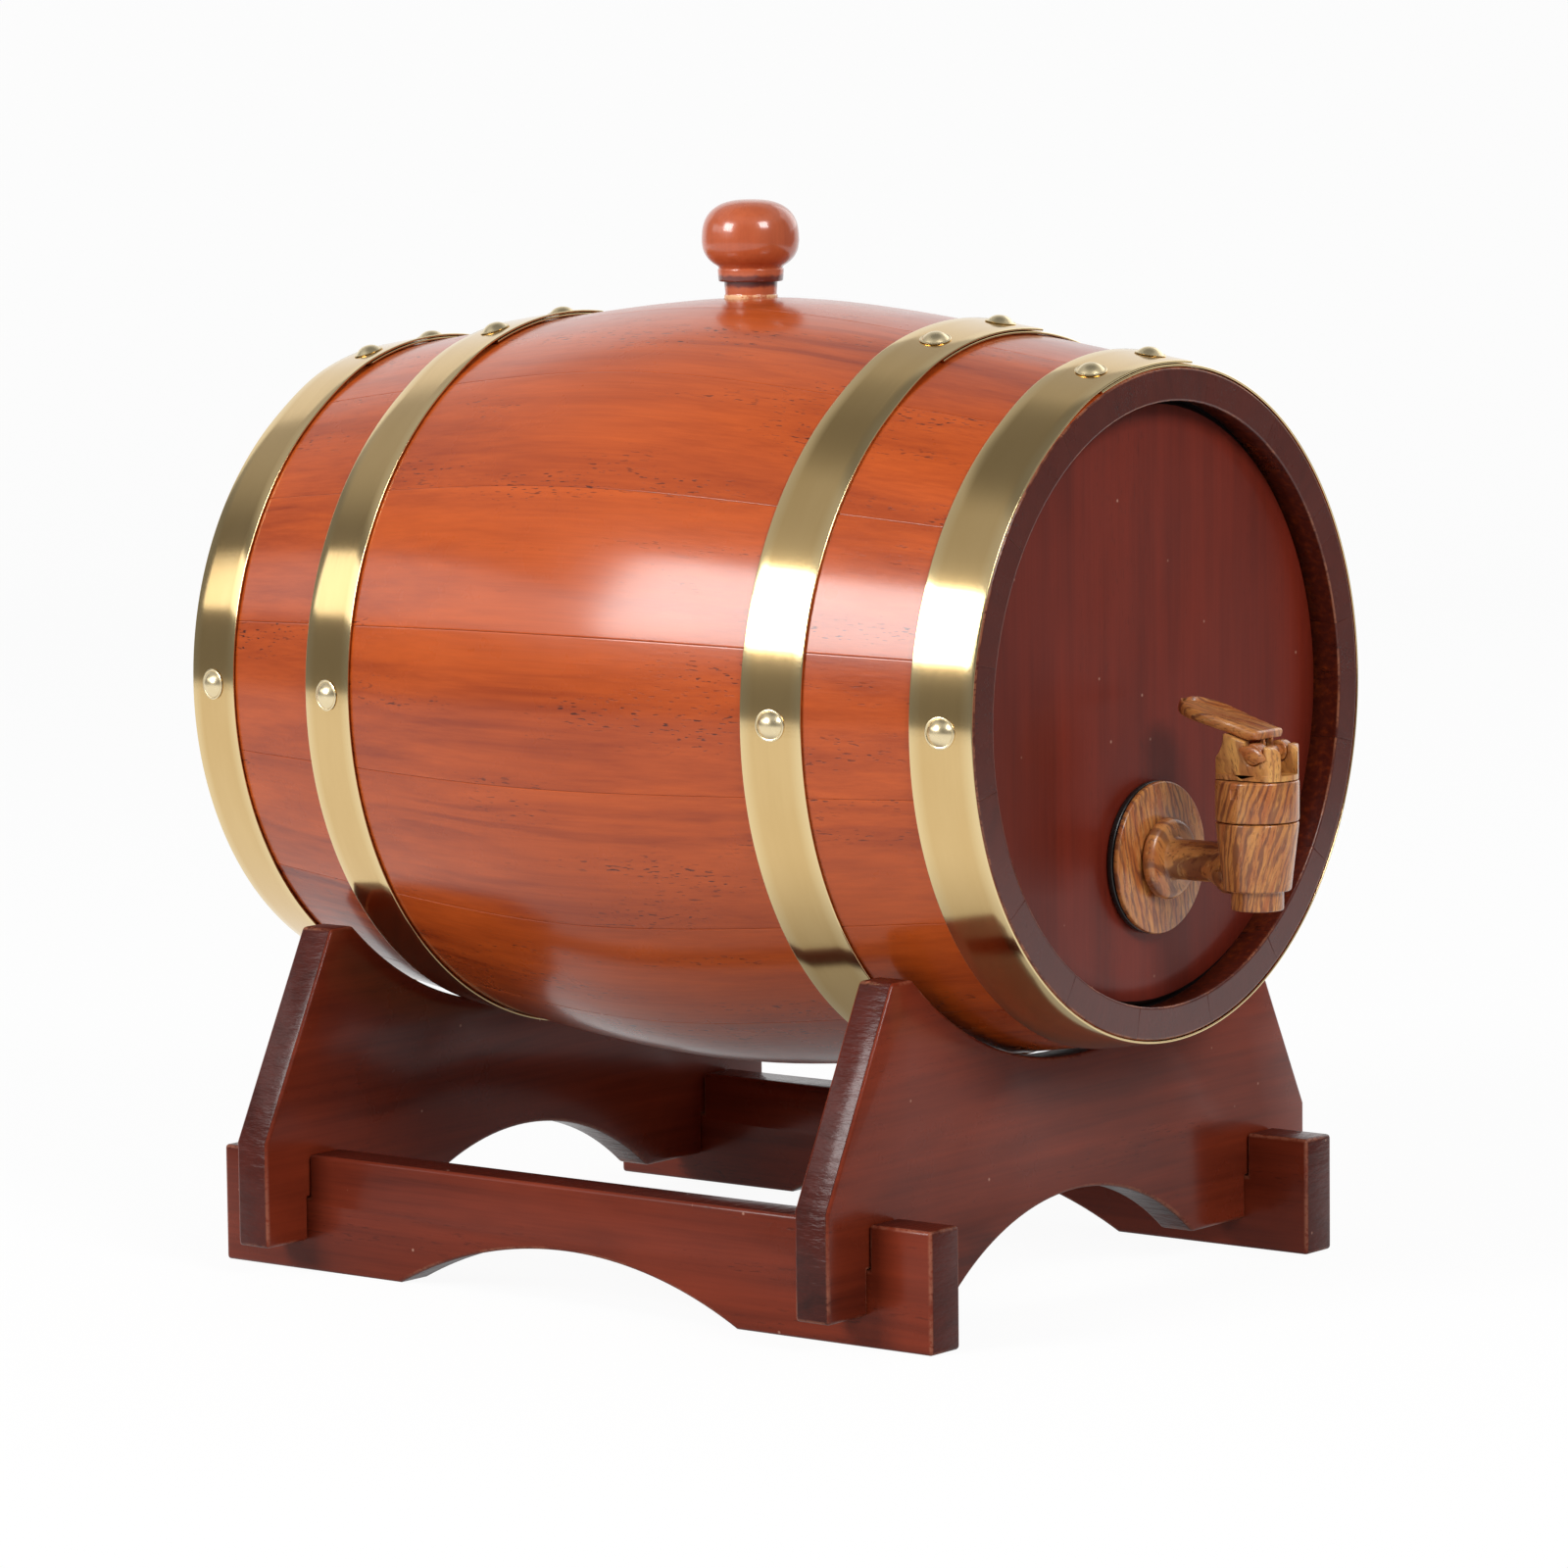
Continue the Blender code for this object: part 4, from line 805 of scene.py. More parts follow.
# 1 near the strip's two edges, which the brass paints paler: a painted highlight.
def hoop_edge_highlight(side, start):
    def rim(point):
        y = side * (CASK.inverted() @ point).y
        return 1.0 if min(abs(y - start), abs(y - start - HOOP_WIDTH)) < 0.00035 else 0.0
    return rim


for label, (side, start) in HOOPS.items():
    piece(f"hoop_{label}_strip", lofted(hoop_rings(side, start)), HOOP_BRASS, f"hoop_{label}", hoop_place,
          hoop_edge_highlight(side, start), sharp=60.0)
print("hoops:", len(HOOPS))

# %% Nails
NAIL_RADIUS = 0.0048
NAIL_HEIGHT = 0.0023
NAIL_SHANK = 0.0012
NAIL_RIM = 0.00035
NAIL_ANGLES = (88.0, 105.0, 180.0, 0.0)


def nail_matrix(side, start, angle, lapped):
    middle = start + HOOP_WIDTH / 2
    tilt = math.atan2(stave_radius(start) - stave_radius(start + HOOP_WIDTH), HOOP_WIDTH)
    radius = (stave_radius(start) + stave_radius(start + HOOP_WIDTH)) / 2 + FIT + HOOP_THICKNESS
    radius += LAP_STEP if lapped else 0.0
    around = math.radians(angle)
    radial = Vector((math.cos(around), 0, math.sin(around)))
    normal = (radial * math.cos(tilt) + Vector((0, side * math.sin(tilt), 0))).normalized()
    spot = radial * radius + Vector((0, side * middle, 0))
    return CASK @ Matrix.Translation(spot) @ normal.to_track_quat("Z", "Y").to_matrix().to_4x4()


def nail_profile():
    """A domed head with a small rolled rim, and its shank below."""
    low = 0.00005
    inner = NAIL_RADIUS - 0.0007
    dome = []
    for step in range(12):
        share = 1 - step / 12
        dome.append((inner * share, NAIL_RIM + (NAIL_HEIGHT - NAIL_RIM) * (1 - share ** 2.4)))
    rim = [(NAIL_RADIUS * 0.97, low), (NAIL_RADIUS, low + 0.0002), (NAIL_RADIUS - 0.0002, NAIL_RIM + 0.0001),
           (NAIL_RADIUS - 0.0005, NAIL_RIM + 0.0001)]
    shank = [(0, -0.0055), (NAIL_SHANK, -0.0048), (NAIL_SHANK, low)]
    return shank + rim + dome + [(0, NAIL_HEIGHT)]


for label, (side, start) in HOOPS.items():
    for count, angle in enumerate(NAIL_ANGLES):
        matrix = nail_matrix(side, start, angle, count < 2)
        piece(f"nail_{label}_{count + 1}", turned(nail_profile(), 48, matrix), NAIL_BRASS,
              f"rivet_{label}_{count + 1}", sharp=50.0)
print("nails:", 4 * len(HOOPS))

# %% [markdown]
# ## Bung
# The bung is turned from one piece: a tapered plug, a neck, a small lip and a flattened ball with
# the faint ridge that a turning tool leaves round its middle.

# %% Bung
BUNG_LIP = 0.0103
LIP_LOW = 0.0050
LIP_TOP = 0.0092
KNOB_RADIUS = 0.01515
KNOB_MIDDLE = 0.0178
KNOB_RISE = 0.01248
KNOB_FALL = 0.0101
KNOB_ROUNDNESS = 0.85
KNOB_SHOULDER = 0.77


def bung_profile():
    """(radius, height) of the plug, the neck, the lip and the knob, with a faint ridge round the knob's middle."""
    profile = softened([(0, -0.020), (BUNG_NECK - 0.0012, -0.020), (BUNG_NECK, 0), (BUNG_NECK, 0.0007),
                        (BUNG_NECK - 0.0003, 0.0010), (BUNG_NECK, LIP_LOW)], 0.0008, 3)
    profile += softened([(BUNG_NECK, LIP_LOW), (BUNG_LIP - 0.0003, LIP_LOW), (BUNG_LIP, LIP_TOP - 0.0004),
                         (BUNG_LIP - 0.0004, LIP_TOP - 0.0001)], 0.0005, 4)[1:]
    start = -math.acos((BUNG_LIP / KNOB_RADIUS) ** (1 / KNOB_ROUNDNESS))
    steps = 40
    for step in range(steps):
        angle = start + (math.pi / 2 - start) * step / steps
        rise = KNOB_RISE if angle > 0 else -KNOB_FALL
        roundness = KNOB_SHOULDER if angle > 0 else KNOB_ROUNDNESS
        ridge = 0.00008 * (math.exp(-(math.degrees(angle) / 2.5) ** 2) - 1)
        profile.append((KNOB_RADIUS * math.cos(angle) ** roundness + ridge,
                        max(KNOB_MIDDLE + rise * abs(math.sin(angle)) ** roundness, LIP_TOP)))
    return profile + [(0.0, KNOB_MIDDLE + KNOB_RISE)]


bung_place = CASK @ Matrix.Translation((0, BUNG_Y, stave_radius(BUNG_Y)))


def bung_rim(point):
    """1 on the ridge round the knob, and at the neck's foot, where the stain ends."""
    local = bung_place.inverted() @ point
    ridge = abs(local.z - KNOB_MIDDLE) < 0.00035 and math.hypot(local.x, local.y) > 0.014
    return 4.0 if -0.001 < local.z < 0.0009 else float(ridge)


def bung_lip_painted_shade(point):
    """1 on the lip under the knob, which is painted darker: a painted shade under the knob's overhang."""
    height = (bung_place.inverted() @ point).z
    return 1.0 if LIP_LOW - 0.001 < height < LIP_TOP - 0.0009 else 0.0


made = piece("bung_turned", turned(bung_profile(), 80, bung_place), BUNG_WOOD, "bung",
             lambda p: (p.z, p.x + 0.2, p.y), bung_rim)
# "stain" darkens the lip under the knob: a painted shade.
stain = made.data.attributes.new("stain", "FLOAT", "POINT")
stain.data.foreach_set("value", np.array([bung_lip_painted_shade(v.co) for v in made.data.vertices], dtype="f"))

# %% [markdown]
# ## Stand
# Two shaped boards are half lapped over two rails. Each is cut to its outline and its edges are
# rounded, and "rim" is 1 on the rounded edge, where the stain has rubbed through.

# %% Outlines of the stand
BOARD_THICKNESS = 0.0125
BOARD_OFFSET = 0.10905
BOARD_HALF_WIDTH = 0.124
BOARD_LIFT = 0.0095
SHOULDER_HEIGHT = 0.042
HORN = (0.092, 0.1055)
CRADLE_RADIUS = 0.120
BOARD_ARCH = (0.062, 0.0223)
RAIL_THICKNESS = 0.014
RAIL_OFFSET = 0.098
RAIL_HEIGHT = 0.0365
RAIL_HALF_LENGTH = 0.138
RAIL_ARCH = (0.066, 0.0165)
LAP_LEVEL = (BOARD_LIFT + RAIL_HEIGHT) / 2
EDGE = 0.0012


def arch(half_chord, rise, base, steps):
    radius = (half_chord ** 2 + rise ** 2) / (2 * rise)
    half = math.asin(half_chord / radius)
    return arc((0.0, base + rise - radius), radius, math.pi / 2 + half, math.pi / 2 - half, steps)


def board_outline():
    slot = RAIL_THICKNESS / 2 + FIT
    cask_radius = stave_radius(BOARD_OFFSET - BOARD_THICKNESS / 2)
    centre = (0.0, AXIS_Z - cask_radius - FIT + CRADLE_RADIUS)
    half = math.acos((centre[1] - HORN[1]) / CRADLE_RADIUS)
    foot = [(-BOARD_HALF_WIDTH, BOARD_LIFT), (-RAIL_OFFSET - slot, BOARD_LIFT), (-RAIL_OFFSET - slot, LAP_LEVEL),
            (-RAIL_OFFSET + slot, LAP_LEVEL), (-RAIL_OFFSET + slot, BOARD_LIFT)]
    cradle = arc(centre, CRADLE_RADIUS, half - math.pi / 2, -half - math.pi / 2, 56)
    side = [(BOARD_HALF_WIDTH, SHOULDER_HEIGHT), HORN]
    mirrored = [(-x, z) for x, z in foot[::-1]]
    return foot + arch(*BOARD_ARCH, BOARD_LIFT, 40) + mirrored + side + cradle + [(-x, z) for x, z in side[::-1]]


def rail_outline():
    slot = BOARD_THICKNESS / 2 + FIT
    rear = [(RAIL_HALF_LENGTH, 0.0), (RAIL_HALF_LENGTH, RAIL_HEIGHT), (BOARD_OFFSET + slot, RAIL_HEIGHT),
            (BOARD_OFFSET + slot, LAP_LEVEL), (BOARD_OFFSET - slot, LAP_LEVEL), (BOARD_OFFSET - slot, RAIL_HEIGHT)]
    return arch(*RAIL_ARCH, 0.0, 40) + rear + [(-y, z) for y, z in rear[::-1]]


def mark_rim(made, flat_axis, low, high):
    """rim is 1 at points that lie inside the rounded edges, between the two flat sides."""
    mesh = made.data
    values = np.zeros(len(mesh.vertices), dtype="f")
    flat = set()
    for face in mesh.polygons:
        if face.area > 2.5e-5:
            flat.update(face.vertices)
    for vertex in mesh.vertices:
        across = vertex.co[flat_axis]
        inside = low + 0.0001 < across < high - 0.0001
        if inside and vertex.index not in flat:
            values[vertex.index] = 1.0
    mesh.attributes["rim"].data.foreach_set("value", values)
    return int(values.sum())


def mark_sawn(made, flat_axis, low, high):
    """stain is 1 on the sawn edges between a board's two flat sides, where the wood drank more stain."""
    across = [vertex.co[flat_axis] for vertex in made.data.vertices]
    values = [1.0 if low + EDGE * 0.6 < a < high - EDGE * 0.6 else 0.0 for a in across]
    stain = made.data.attributes.new("stain", "FLOAT", "POINT")
    stain.data.foreach_set("value", np.array(values, dtype="f"))


# %% Boards and rails
for number, (label, y) in enumerate((("front", -BOARD_OFFSET), ("rear", BOARD_OFFSET))):
    low = CENTRE_Y + y - BOARD_THICKNESS / 2
    made = piece(f"cradle_{label}_board", board(board_outline(), "Y", low, low + BOARD_THICKNESS, EDGE), STAND_WOOD,
                 f"cradle_{label}", lambda p, n=number: (p.x + 0.37 * n, p.z + 0.21 * n, p.y))
    mark_sawn(made, 1, low, low + BOARD_THICKNESS)
    print(made.name, "rim points", mark_rim(made, 1, low, low + BOARD_THICKNESS))
for number, (label, x) in enumerate((("left", -RAIL_OFFSET), ("right", RAIL_OFFSET))):
    low = x - RAIL_THICKNESS / 2
    shift = Matrix.Translation((0, CENTRE_Y, 0))
    made = piece(f"rail_{label}_board", board(rail_outline(), "X", low, low + RAIL_THICKNESS, EDGE, shift), STAND_WOOD,
                 f"rail_{label}", lambda p, n=number: (p.y + 0.9 + 0.53 * n, p.z + 0.31 * n, p.x))
    mark_sawn(made, 0, low, low + RAIL_THICKNESS)
    print(made.name, "rim points", mark_rim(made, 0, low, low + RAIL_THICKNESS))

# %% [markdown]
# ## Tap
# The tap is a plastic moulding. Its parts are turned shapes: the chamber with its spout, the stem
# with its shoulder, the flange on a black gasket, and the collar. All edges are softened, because
# moulded plastic never has a sharp one.

# %% Tap body
TAP = Matrix.Translation((0.0, -0.1597, 0.135))
ALONG = TAP @ Matrix.Rotation(-math.pi / 2, 4, "X")
BODY_TOP_RADIUS = 0.01242
BODY_TOP = 0.0131
COLLAR_TOP = 0.0255
SHOULDER_FACE = 0.0337


def print_on_side(p):
    """The print runs down the moulding: along is the height, across goes round it."""
    local = TAP.inverted() @ p
    return (local.z + 0.05, math.atan2(local.x, local.y) * 0.0115, math.hypot(local.x, local.y) * 0.3)


def print_on_face(p):
    local = TAP.inverted() @ p
    return (local.z + 0.4, local.x + 0.11, local.y * 0.3)


chamber = softened([
    (0.0056, -0.0132), (0.0078, -0.0132), (0.0078, -0.0073), (0.0100, -0.0073), (BODY_TOP_RADIUS, BODY_TOP),
    (0.0098, BODY_TOP), (0.0098, 0.0220), (0.0075, 0.0220), (0.0075, -0.0040), (0.0045, -0.0040),
    (0.0045, -0.0065), (0.0056, -0.0065)], 0.0007, 3, closed=True)
half = 0.0023
shoulder = arc((0.0123 - half, SHOULDER_FACE - half), half, -math.pi / 2, math.pi / 2, 14)
stem = [(0.0034, 0.0085), (0.0064, 0.0085), (0.0061, 0.0120), (0.0061, SHOULDER_FACE - 0.0056), (0.0066, SHOULDER_FACE - 0.0049)]
stem += [(0.0080, SHOULDER_FACE - 0.0046)] + shoulder + [(0.0075, SHOULDER_FACE), (0.0075, 0.0618), (0.0069, 0.0624),
                                                         (0.0034, 0.0624)]
bm = turned(chamber, 72, TAP)
turned(stem, 56, ALONG, bm)
web = []
for along, radius, drop in ((0.0165, 0.0058, 0.0001), (0.0145, 0.0062, 0.0004), (0.0125, 0.0066, 0.0012),
                            (0.0108, 0.0070, 0.0021), (0.0085, 0.0066, 0.0026)):
    web.append([TAP @ Vector((x * 0.92, along, z - drop)) for x, z in arc((0, 0), radius, 0, math.tau, 40)[:-1]])
lofted(web, bm)
piece("tap_body_moulding", bm, TAP_PRINT, "tap_body", print_on_side)

# %% Flange, gaskets, nut and collar
def ring_profile(outer, inner, low, high, soft):
    return softened([(inner, low), (outer, low), (outer, high), (inner, high)], soft, 4, closed=True)


FLANGE_RADIUS = 0.0229
TAIL_HOLE = 0.0078
flange_low = SHOULDER_FACE + FIT
gasket_low = flange_low + 0.0020 + FIT
inner_low = 0.0385 + HEAD_THICKNESS + FIT
nut_low = 0.0385 + HEAD_THICKNESS + 0.0020 + 3 * FIT
piece("tap_flange_disc", turned(ring_profile(FLANGE_RADIUS, TAIL_HOLE, flange_low, flange_low + 0.0020, 0.0008), 96,
                                ALONG), TAP_PRINT, "tap_flange", print_on_face)
piece("tap_gasket_outer_ring", turned(ring_profile(FLANGE_RADIUS, TAIL_HOLE, gasket_low, gasket_low + 0.0019, 0.0006),
                                      96, ALONG), SEAL_RUBBER, "tap_gasket_outer")
piece("tap_gasket_inner_ring", turned(ring_profile(0.0125, TAIL_HOLE, inner_low, inner_low + 0.0020, 0.0005), 64,
                                      ALONG), SEAL_RUBBER, "tap_gasket_inner")
piece("tap_nut_hexagon", turned(ring_profile(0.0127, TAIL_HOLE, nut_low, nut_low + 0.007, 0.0007), 6, ALONG),
      NUT_PLASTIC, "tap_lock_nut", sharp=25.0)
collar = softened([
    (0.0101, BODY_TOP + FIT), (BODY_TOP_RADIUS, BODY_TOP + FIT), (BODY_TOP_RADIUS, COLLAR_TOP), (0.0018, COLLAR_TOP),
    (0.0018, 0.0223), (0.0101, 0.0223)], 0.0007, 3, closed=True)
window = board([(-0.0014, 0.0205), (0.0014, 0.0205), (0.0014, 0.0237), (-0.0014, 0.0237)], "X", -0.0140, -0.0121, 0.0003, TAP)
piece("tap_collar_cap", turned(collar, 72, TAP), TAP_PRINT, "tap_collar",
      lambda p: tuple(Vector(print_on_side(p)) + Vector((0.31, 0.004, 0.0))), cut=window)
print("tap collar top at z =", round(0.135 + COLLAR_TOP, 4))

# %% [markdown]
# ## Fork, lever and plunger
# The fork turns on the collar. Its two cheeks carry the lever's hub in open notches. The lever is a
# thumb paddle with rounded edges: it lifts the plunger, and the spring puts it back.

# %% Fork
PIVOT = Vector((0.0, -0.0040, 0.0338))
HUB_RADIUS = 0.0032
FORK_BASE = COLLAR_TOP + FIT
FORK_RADIUS = 0.0122
FORK_SLOT = 0.0046
FORK_FLAT = 0.0082
FORK_HEEL = 0.0052
FORK_WAIST = (0.0068, 0.0104)
TILT = math.radians(16.0)


def underside(y):
    return PIVOT.z + 0.0027 / math.cos(TILT) + (y - PIVOT.y) * math.tan(TILT)


def cheek_outline():
    """(y, z): a rounded front wall, an open notch round the pivot, and a rear post waisted at the back."""
    notch_radius = HUB_RADIUS + FIT
    wall_back = PIVOT.y - notch_radius
    post_front = PIVOT.y + notch_radius
    wall_top = PIVOT.z + 0.0024
    wall_width = FORK_RADIUS + wall_back
    crown = arc((wall_back, wall_top - wall_width), wall_width, math.pi, math.pi / 2, 14)
    notch = arc((PIVOT.y, PIVOT.z), notch_radius, math.pi, math.tau, 20)
    waist_y, waist_z = FORK_WAIST
    heel = FORK_BASE + FORK_HEEL
    post_top = underside(waist_y) - FIT
    rear = [(post_front, underside(post_front) - FIT), (waist_y, post_top)]
    for step in range(1, 11):
        t = step / 10
        start, bend, end = Vector((waist_y, post_top)), Vector((waist_y, heel + 0.0016)), Vector((FORK_RADIUS, heel))
        rear.append(tuple(start * (1 - t) ** 2 + bend * 2 * t * (1 - t) + end * t ** 2))
    return [(-FORK_RADIUS, FORK_BASE)] + crown + notch + rear + [(FORK_RADIUS, FORK_BASE)]


def rounded_to_collar(bm, limit):
    """Pull points that lie outside the fork's round plan onto it."""
    for vertex in bm.verts:
        reach = math.hypot(vertex.co.x, vertex.co.y)
        if reach > limit:
            vertex.co.x *= limit / reach
            vertex.co.y *= limit / reach
    return bm


def fork_shape():
    bm = bmesh.new()
    for low, high in ((-FORK_FLAT, -FORK_SLOT), (FORK_SLOT, FORK_FLAT)):
        cheek = board(cheek_outline(), "X", low, high, 0.0008)
        bmesh.ops.triangulate(cheek, faces=[face for face in cheek.faces if len(face.verts) > 4])
        bmesh.ops.subdivide_edges(cheek, edges=cheek.edges[:], cuts=1)
        spare = bpy.data.meshes.new("cheek")
        rounded_to_collar(cheek, FORK_RADIUS).to_mesh(spare)
        cheek.free()
        bm.from_mesh(spare)
        bpy.data.meshes.remove(spare)
    outline = [(x, y) for x, y in arc((0, 0), FORK_RADIUS, 0, math.tau, 64)[:-1]]
    outline = [(max(-FORK_FLAT, min(FORK_FLAT, x)), y) for x, y in outline]
    floor = lofted([[Vector((x, y, z)) for x, y in outline] for z in (FORK_BASE, FORK_BASE + 0.0016)])
    spare = bpy.data.meshes.new("floor")
    floor.to_mesh(spare)
    floor.free()
    bm.from_mesh(spare)
    bpy.data.meshes.remove(spare)
    bmesh.ops.transform(bm, matrix=TAP, verts=bm.verts)
    return bm


piece("tap_fork_moulding", fork_shape(), FORK_PRINT_LIGHTENED, "tap_fork", lambda p: (p.z * 0.6 + p.y, p.x, p.y), sharp=60.0)
print("fork made")

# %% Lever
LEVER = TAP @ Matrix.Translation(PIVOT)


def paddle_section(along, half_width, low, high):
    """A slab section across the paddle, dished on top towards its tip, with a low rim left round the dish."""
    dish = 0.0011 * min(max((along - 0.009) / 0.012, 0.0), 1.0)
    points = []
    for step in range(13):
        share = step / 6 - 1
        hollow = min((1 - abs(share)) / 0.35, 1.0)
        points.append((share * half_width * 0.90, high - dish * hollow * hollow * (3 - 2 * hollow)))
    edge = (high - low) / 2
    side = arc((0, 0), 1.0, math.pi / 2 * 0.75, -math.pi / 2 * 0.75, 8)
    side = [(half_width + (x - 1.0) * edge * 0.55, (low + high) / 2 + z * edge) for x, z in side]
    bottom = [(half_width * share, low) for share in (0.85, 0.4, 0.0, -0.4, -0.85)]
    return points + side + bottom + [(-x, z) for x, z in side[::-1]]


def leaf(sign):
    """The raised lug on the hub's end: a low dome on a pointed oval, slanted as the paddle is."""
    rings = []
    for share, rise in ((1.0, 0.0), (0.97, 0.0003), (0.80, 0.00055), (0.45, 0.00068), (0.12, 0.0007)):
        ring = []
        for step in range(32):
            angle = math.tau * step / 32
            along = 0.0050 * math.cos(angle) * share
            across = 0.0022 * math.sin(angle) * abs(math.sin(angle)) ** 0.4 * share
            ring.append(Vector((sign * (FORK_FLAT + FIT + rise), along, across)))
        rings.append(ring)
    bm = lofted(rings)
    bmesh.ops.rotate(bm, verts=bm.verts, cent=(0, 0, 0), matrix=Matrix.Rotation(TILT, 3, "X"))
    return bm


def lever_shape():
    start, reach, width, tip = 0.0010, 0.0325, 0.0070, 0.0090
    rings = []
    stations = [0.0, 0.015, 0.04, 0.09, 0.16, 0.27, 0.38, 0.5, 0.6, 0.7, 0.78, 0.85, 0.91, 0.955, 0.985, 1.0]
    for share in stations:
        along = start + (reach - start) * share
        into_tip = max((along - (reach - tip)) / tip, 0.0)
        swell = width + (tip - width) * min(max((along - 0.010) / 0.012, 0.0), 1.0)
        half_width = swell * math.sqrt(max(1.0 - into_tip ** 2, 0.02))
        end = min((1.0 - share) / 0.05, 1.0)
        thin = 0.0010 * (1.0 - math.sqrt(max(1.0 - (1.0 - end) ** 2, 0.0)))
        chisel = 0.0013 * max(1.0 - share / 0.10, 0.0)
        nose = 0.0003 * max(1.0 - share / 0.015, 0.0)
        rings.append([Vector((-x, along, z)) for x, z in
                      paddle_section(along, half_width - thin * 0.5 - nose, 0.0027 + thin + chisel,
                                     0.0063 - thin * 0.6 - nose)])
    bm = lofted(rings)
    bmesh.ops.rotate(bm, verts=bm.verts, cent=(0, 0, 0), matrix=Matrix.Rotation(TILT, 3, "X"))
    sideways = Matrix.Rotation(math.pi / 2, 4, "Y")
    turned([(0, -0.0066), (0.0019, -0.0066), (0.0019, 0.0066), (0, 0.0066)], 24, sideways, bm)
    for sign in (-1, 1):
        ends = sorted((sign * (FORK_SLOT - 0.0001), sign * (FORK_FLAT + FIT)))
        hub = softened([(0, ends[0]), (HUB_RADIUS, ends[0]), (HUB_RADIUS, ends[1]), (0, ends[1])], 0.0006, 4)
        turned(hub, 40, sideways, bm)
        spare = bpy.data.meshes.new("leaf")
        lug = leaf(sign)
        lug.to_mesh(spare)
        lug.free()
        bm.from_mesh(spare)
        bpy.data.meshes.remove(spare)
        for part in claw_and_neck(sign):
            lofted(part, bm)
    bmesh.ops.transform(bm, matrix=LEVER, verts=bm.verts)
    return bm


def claw_and_neck(sign):
    """Rings for one claw that lifts the plunger, and for one side of the neck that carries the paddle."""
    near, far = sign * 0.0017, sign * 0.0026
    tip = arc((0.0040, 0.0), 0.0010, -math.pi / 2, math.pi / 2, 10)
    claw = [(0.0, -0.0010)] + tip + [(0.0, 0.0010)]
    neck = [(0.0, 0.0), (0.0011, 0.0), (0.0011, 0.0040), (0.0, 0.0040)]
    return [[[Vector((x, y, z)) for y, z in outline] for x in (near, far)] for outline in (claw, neck)]


def lever_place(p):
    local = LEVER.inverted() @ p
    return (local.y + 0.77, local.x * 1.2 + 0.3, local.z * 0.6)


piece("tap_lever_paddle", lever_shape(), TAP_PRINT, "tap_lever", lever_place)

# %% Plunger, washer and spring
disc_low = -0.0040 + FIT + 0.0031 + FIT
plunger = [(0, disc_low - 0.0028), (0.0018, disc_low - 0.0028), (0.0018, disc_low), (0.0062, disc_low),
           (0.0062, disc_low + 0.0018), (0.0014, disc_low + 0.0018), (0.0014, 0.0351), (0.0026, 0.0351),
           (0.0026, 0.0366), (0, 0.0366)]
piece("tap_plunger_rod", turned(softened(plunger, 0.0004, 3), 40, TAP), FORK_PRINT_LIGHTENED, "tap_plunger")
piece("tap_washer_ring", turned(ring_profile(0.0062, 0.0021, -0.0037, -0.0006, 0.0004), 40, TAP), SEAL_RUBBER,
      "tap_seat_washer")


def spring_shape():
    """A round wire swept along a coil."""
    low = disc_low + 0.0018 + FIT + 0.00075
    high = 0.0223 - FIT - 0.00075
    rings = []
    count = 5 * 28
    for step in range(count + 1):
        angle = math.tau * step / 28
        centre = Vector((0.0046 * math.cos(angle), 0.0046 * math.sin(angle), low + (high - low) * step / count))
        outward = Vector((math.cos(angle), math.sin(angle), 0))
        rings.append([TAP @ (centre + outward * 0.0005 * math.cos(a) + Vector((0, 0, 0.0005 * math.sin(a))))
                      for a in (math.tau * k / 10 for k in range(10))])
    return lofted(rings)


coil = piece("tap_spring_coil", spring_shape(), SPRING_STEEL, "tap_spring")
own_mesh(coil)
print("spring, washer and plunger made")

# %% [markdown]
# ## The studio
# The brass tells how the real studio was laid out, because each height on a hoop mirrors another
# direction. A tall soft box stands on the left and makes the white band, a weak glow stands beside
# it, the room above and just over the table's edge is dark, and the white table shows in the lower
# half of every hoop. Two more boxes light the tap end and the right side.

# %% Floor and backdrop
TABLE_MIDDLE = -0.5 * level_right
TABLE_REACH = (1.5, 2.0)
WEDGE_HALF = (0.75, 1.3)
PAINTED_SHADOW_REACH = (0.04, 0.30)
WHITE_LIFT = 0.94
DARK_ROOM = 0.22


def table_mask_with_painted_shadow(tree):
    """1 on the white table round the cask and on the paper behind it, 0 in the dark part of the room. Close under the
    cask it falls to 0.25: a painted shadow of the cask, seen in its reflections.
    """
    place = add(tree, "ShaderNodeNewGeometry").outputs["Position"]
    flat = add(tree, "ShaderNodeVectorMath", {0: place, 1: (1.0, 1.0, 0.0)}, operation="MULTIPLY").outputs[0]
    reach = add(tree, "ShaderNodeVectorMath", {0: flat, 1: tuple(TABLE_MIDDLE)}, operation="DISTANCE").outputs["Value"]
    near = ramp(tree, reach, TABLE_REACH[0], TABLE_REACH[1], 1.0, 0.0)
    side = add(tree, "ShaderNodeVectorMath", {0: flat, 1: tuple(level_right)}, operation="DOT_PRODUCT").outputs["Value"]
    away = add(tree, "ShaderNodeVectorMath", {0: flat, 1: tuple(level_up.cross(level_right))},
               operation="DOT_PRODUCT").outputs["Value"]
    behind = ramp(tree, away, 0.0, 0.5)
    wedge = ramp(tree, maths(tree, "DIVIDE", maths(tree, "ABSOLUTE", side), maths(tree, "ADD", away, 0.6)),
                 WEDGE_HALF[0], WEDGE_HALF[1], 1.0, 0.0)
    white = maths(tree, "MAXIMUM", near, maths(tree, "MULTIPLY", behind, wedge))
    centre = add(tree, "ShaderNodeVectorMath", {0: flat}, operation="LENGTH").outputs["Value"]
    # Darker close under the cask: a painted shadow for the mirrored rays, which see only the glow.
    return maths(tree, "MULTIPLY", white, ramp(tree, centre, PAINTED_SHADOW_REACH[0], PAINTED_SHADOW_REACH[1], 0.25, 1.0))


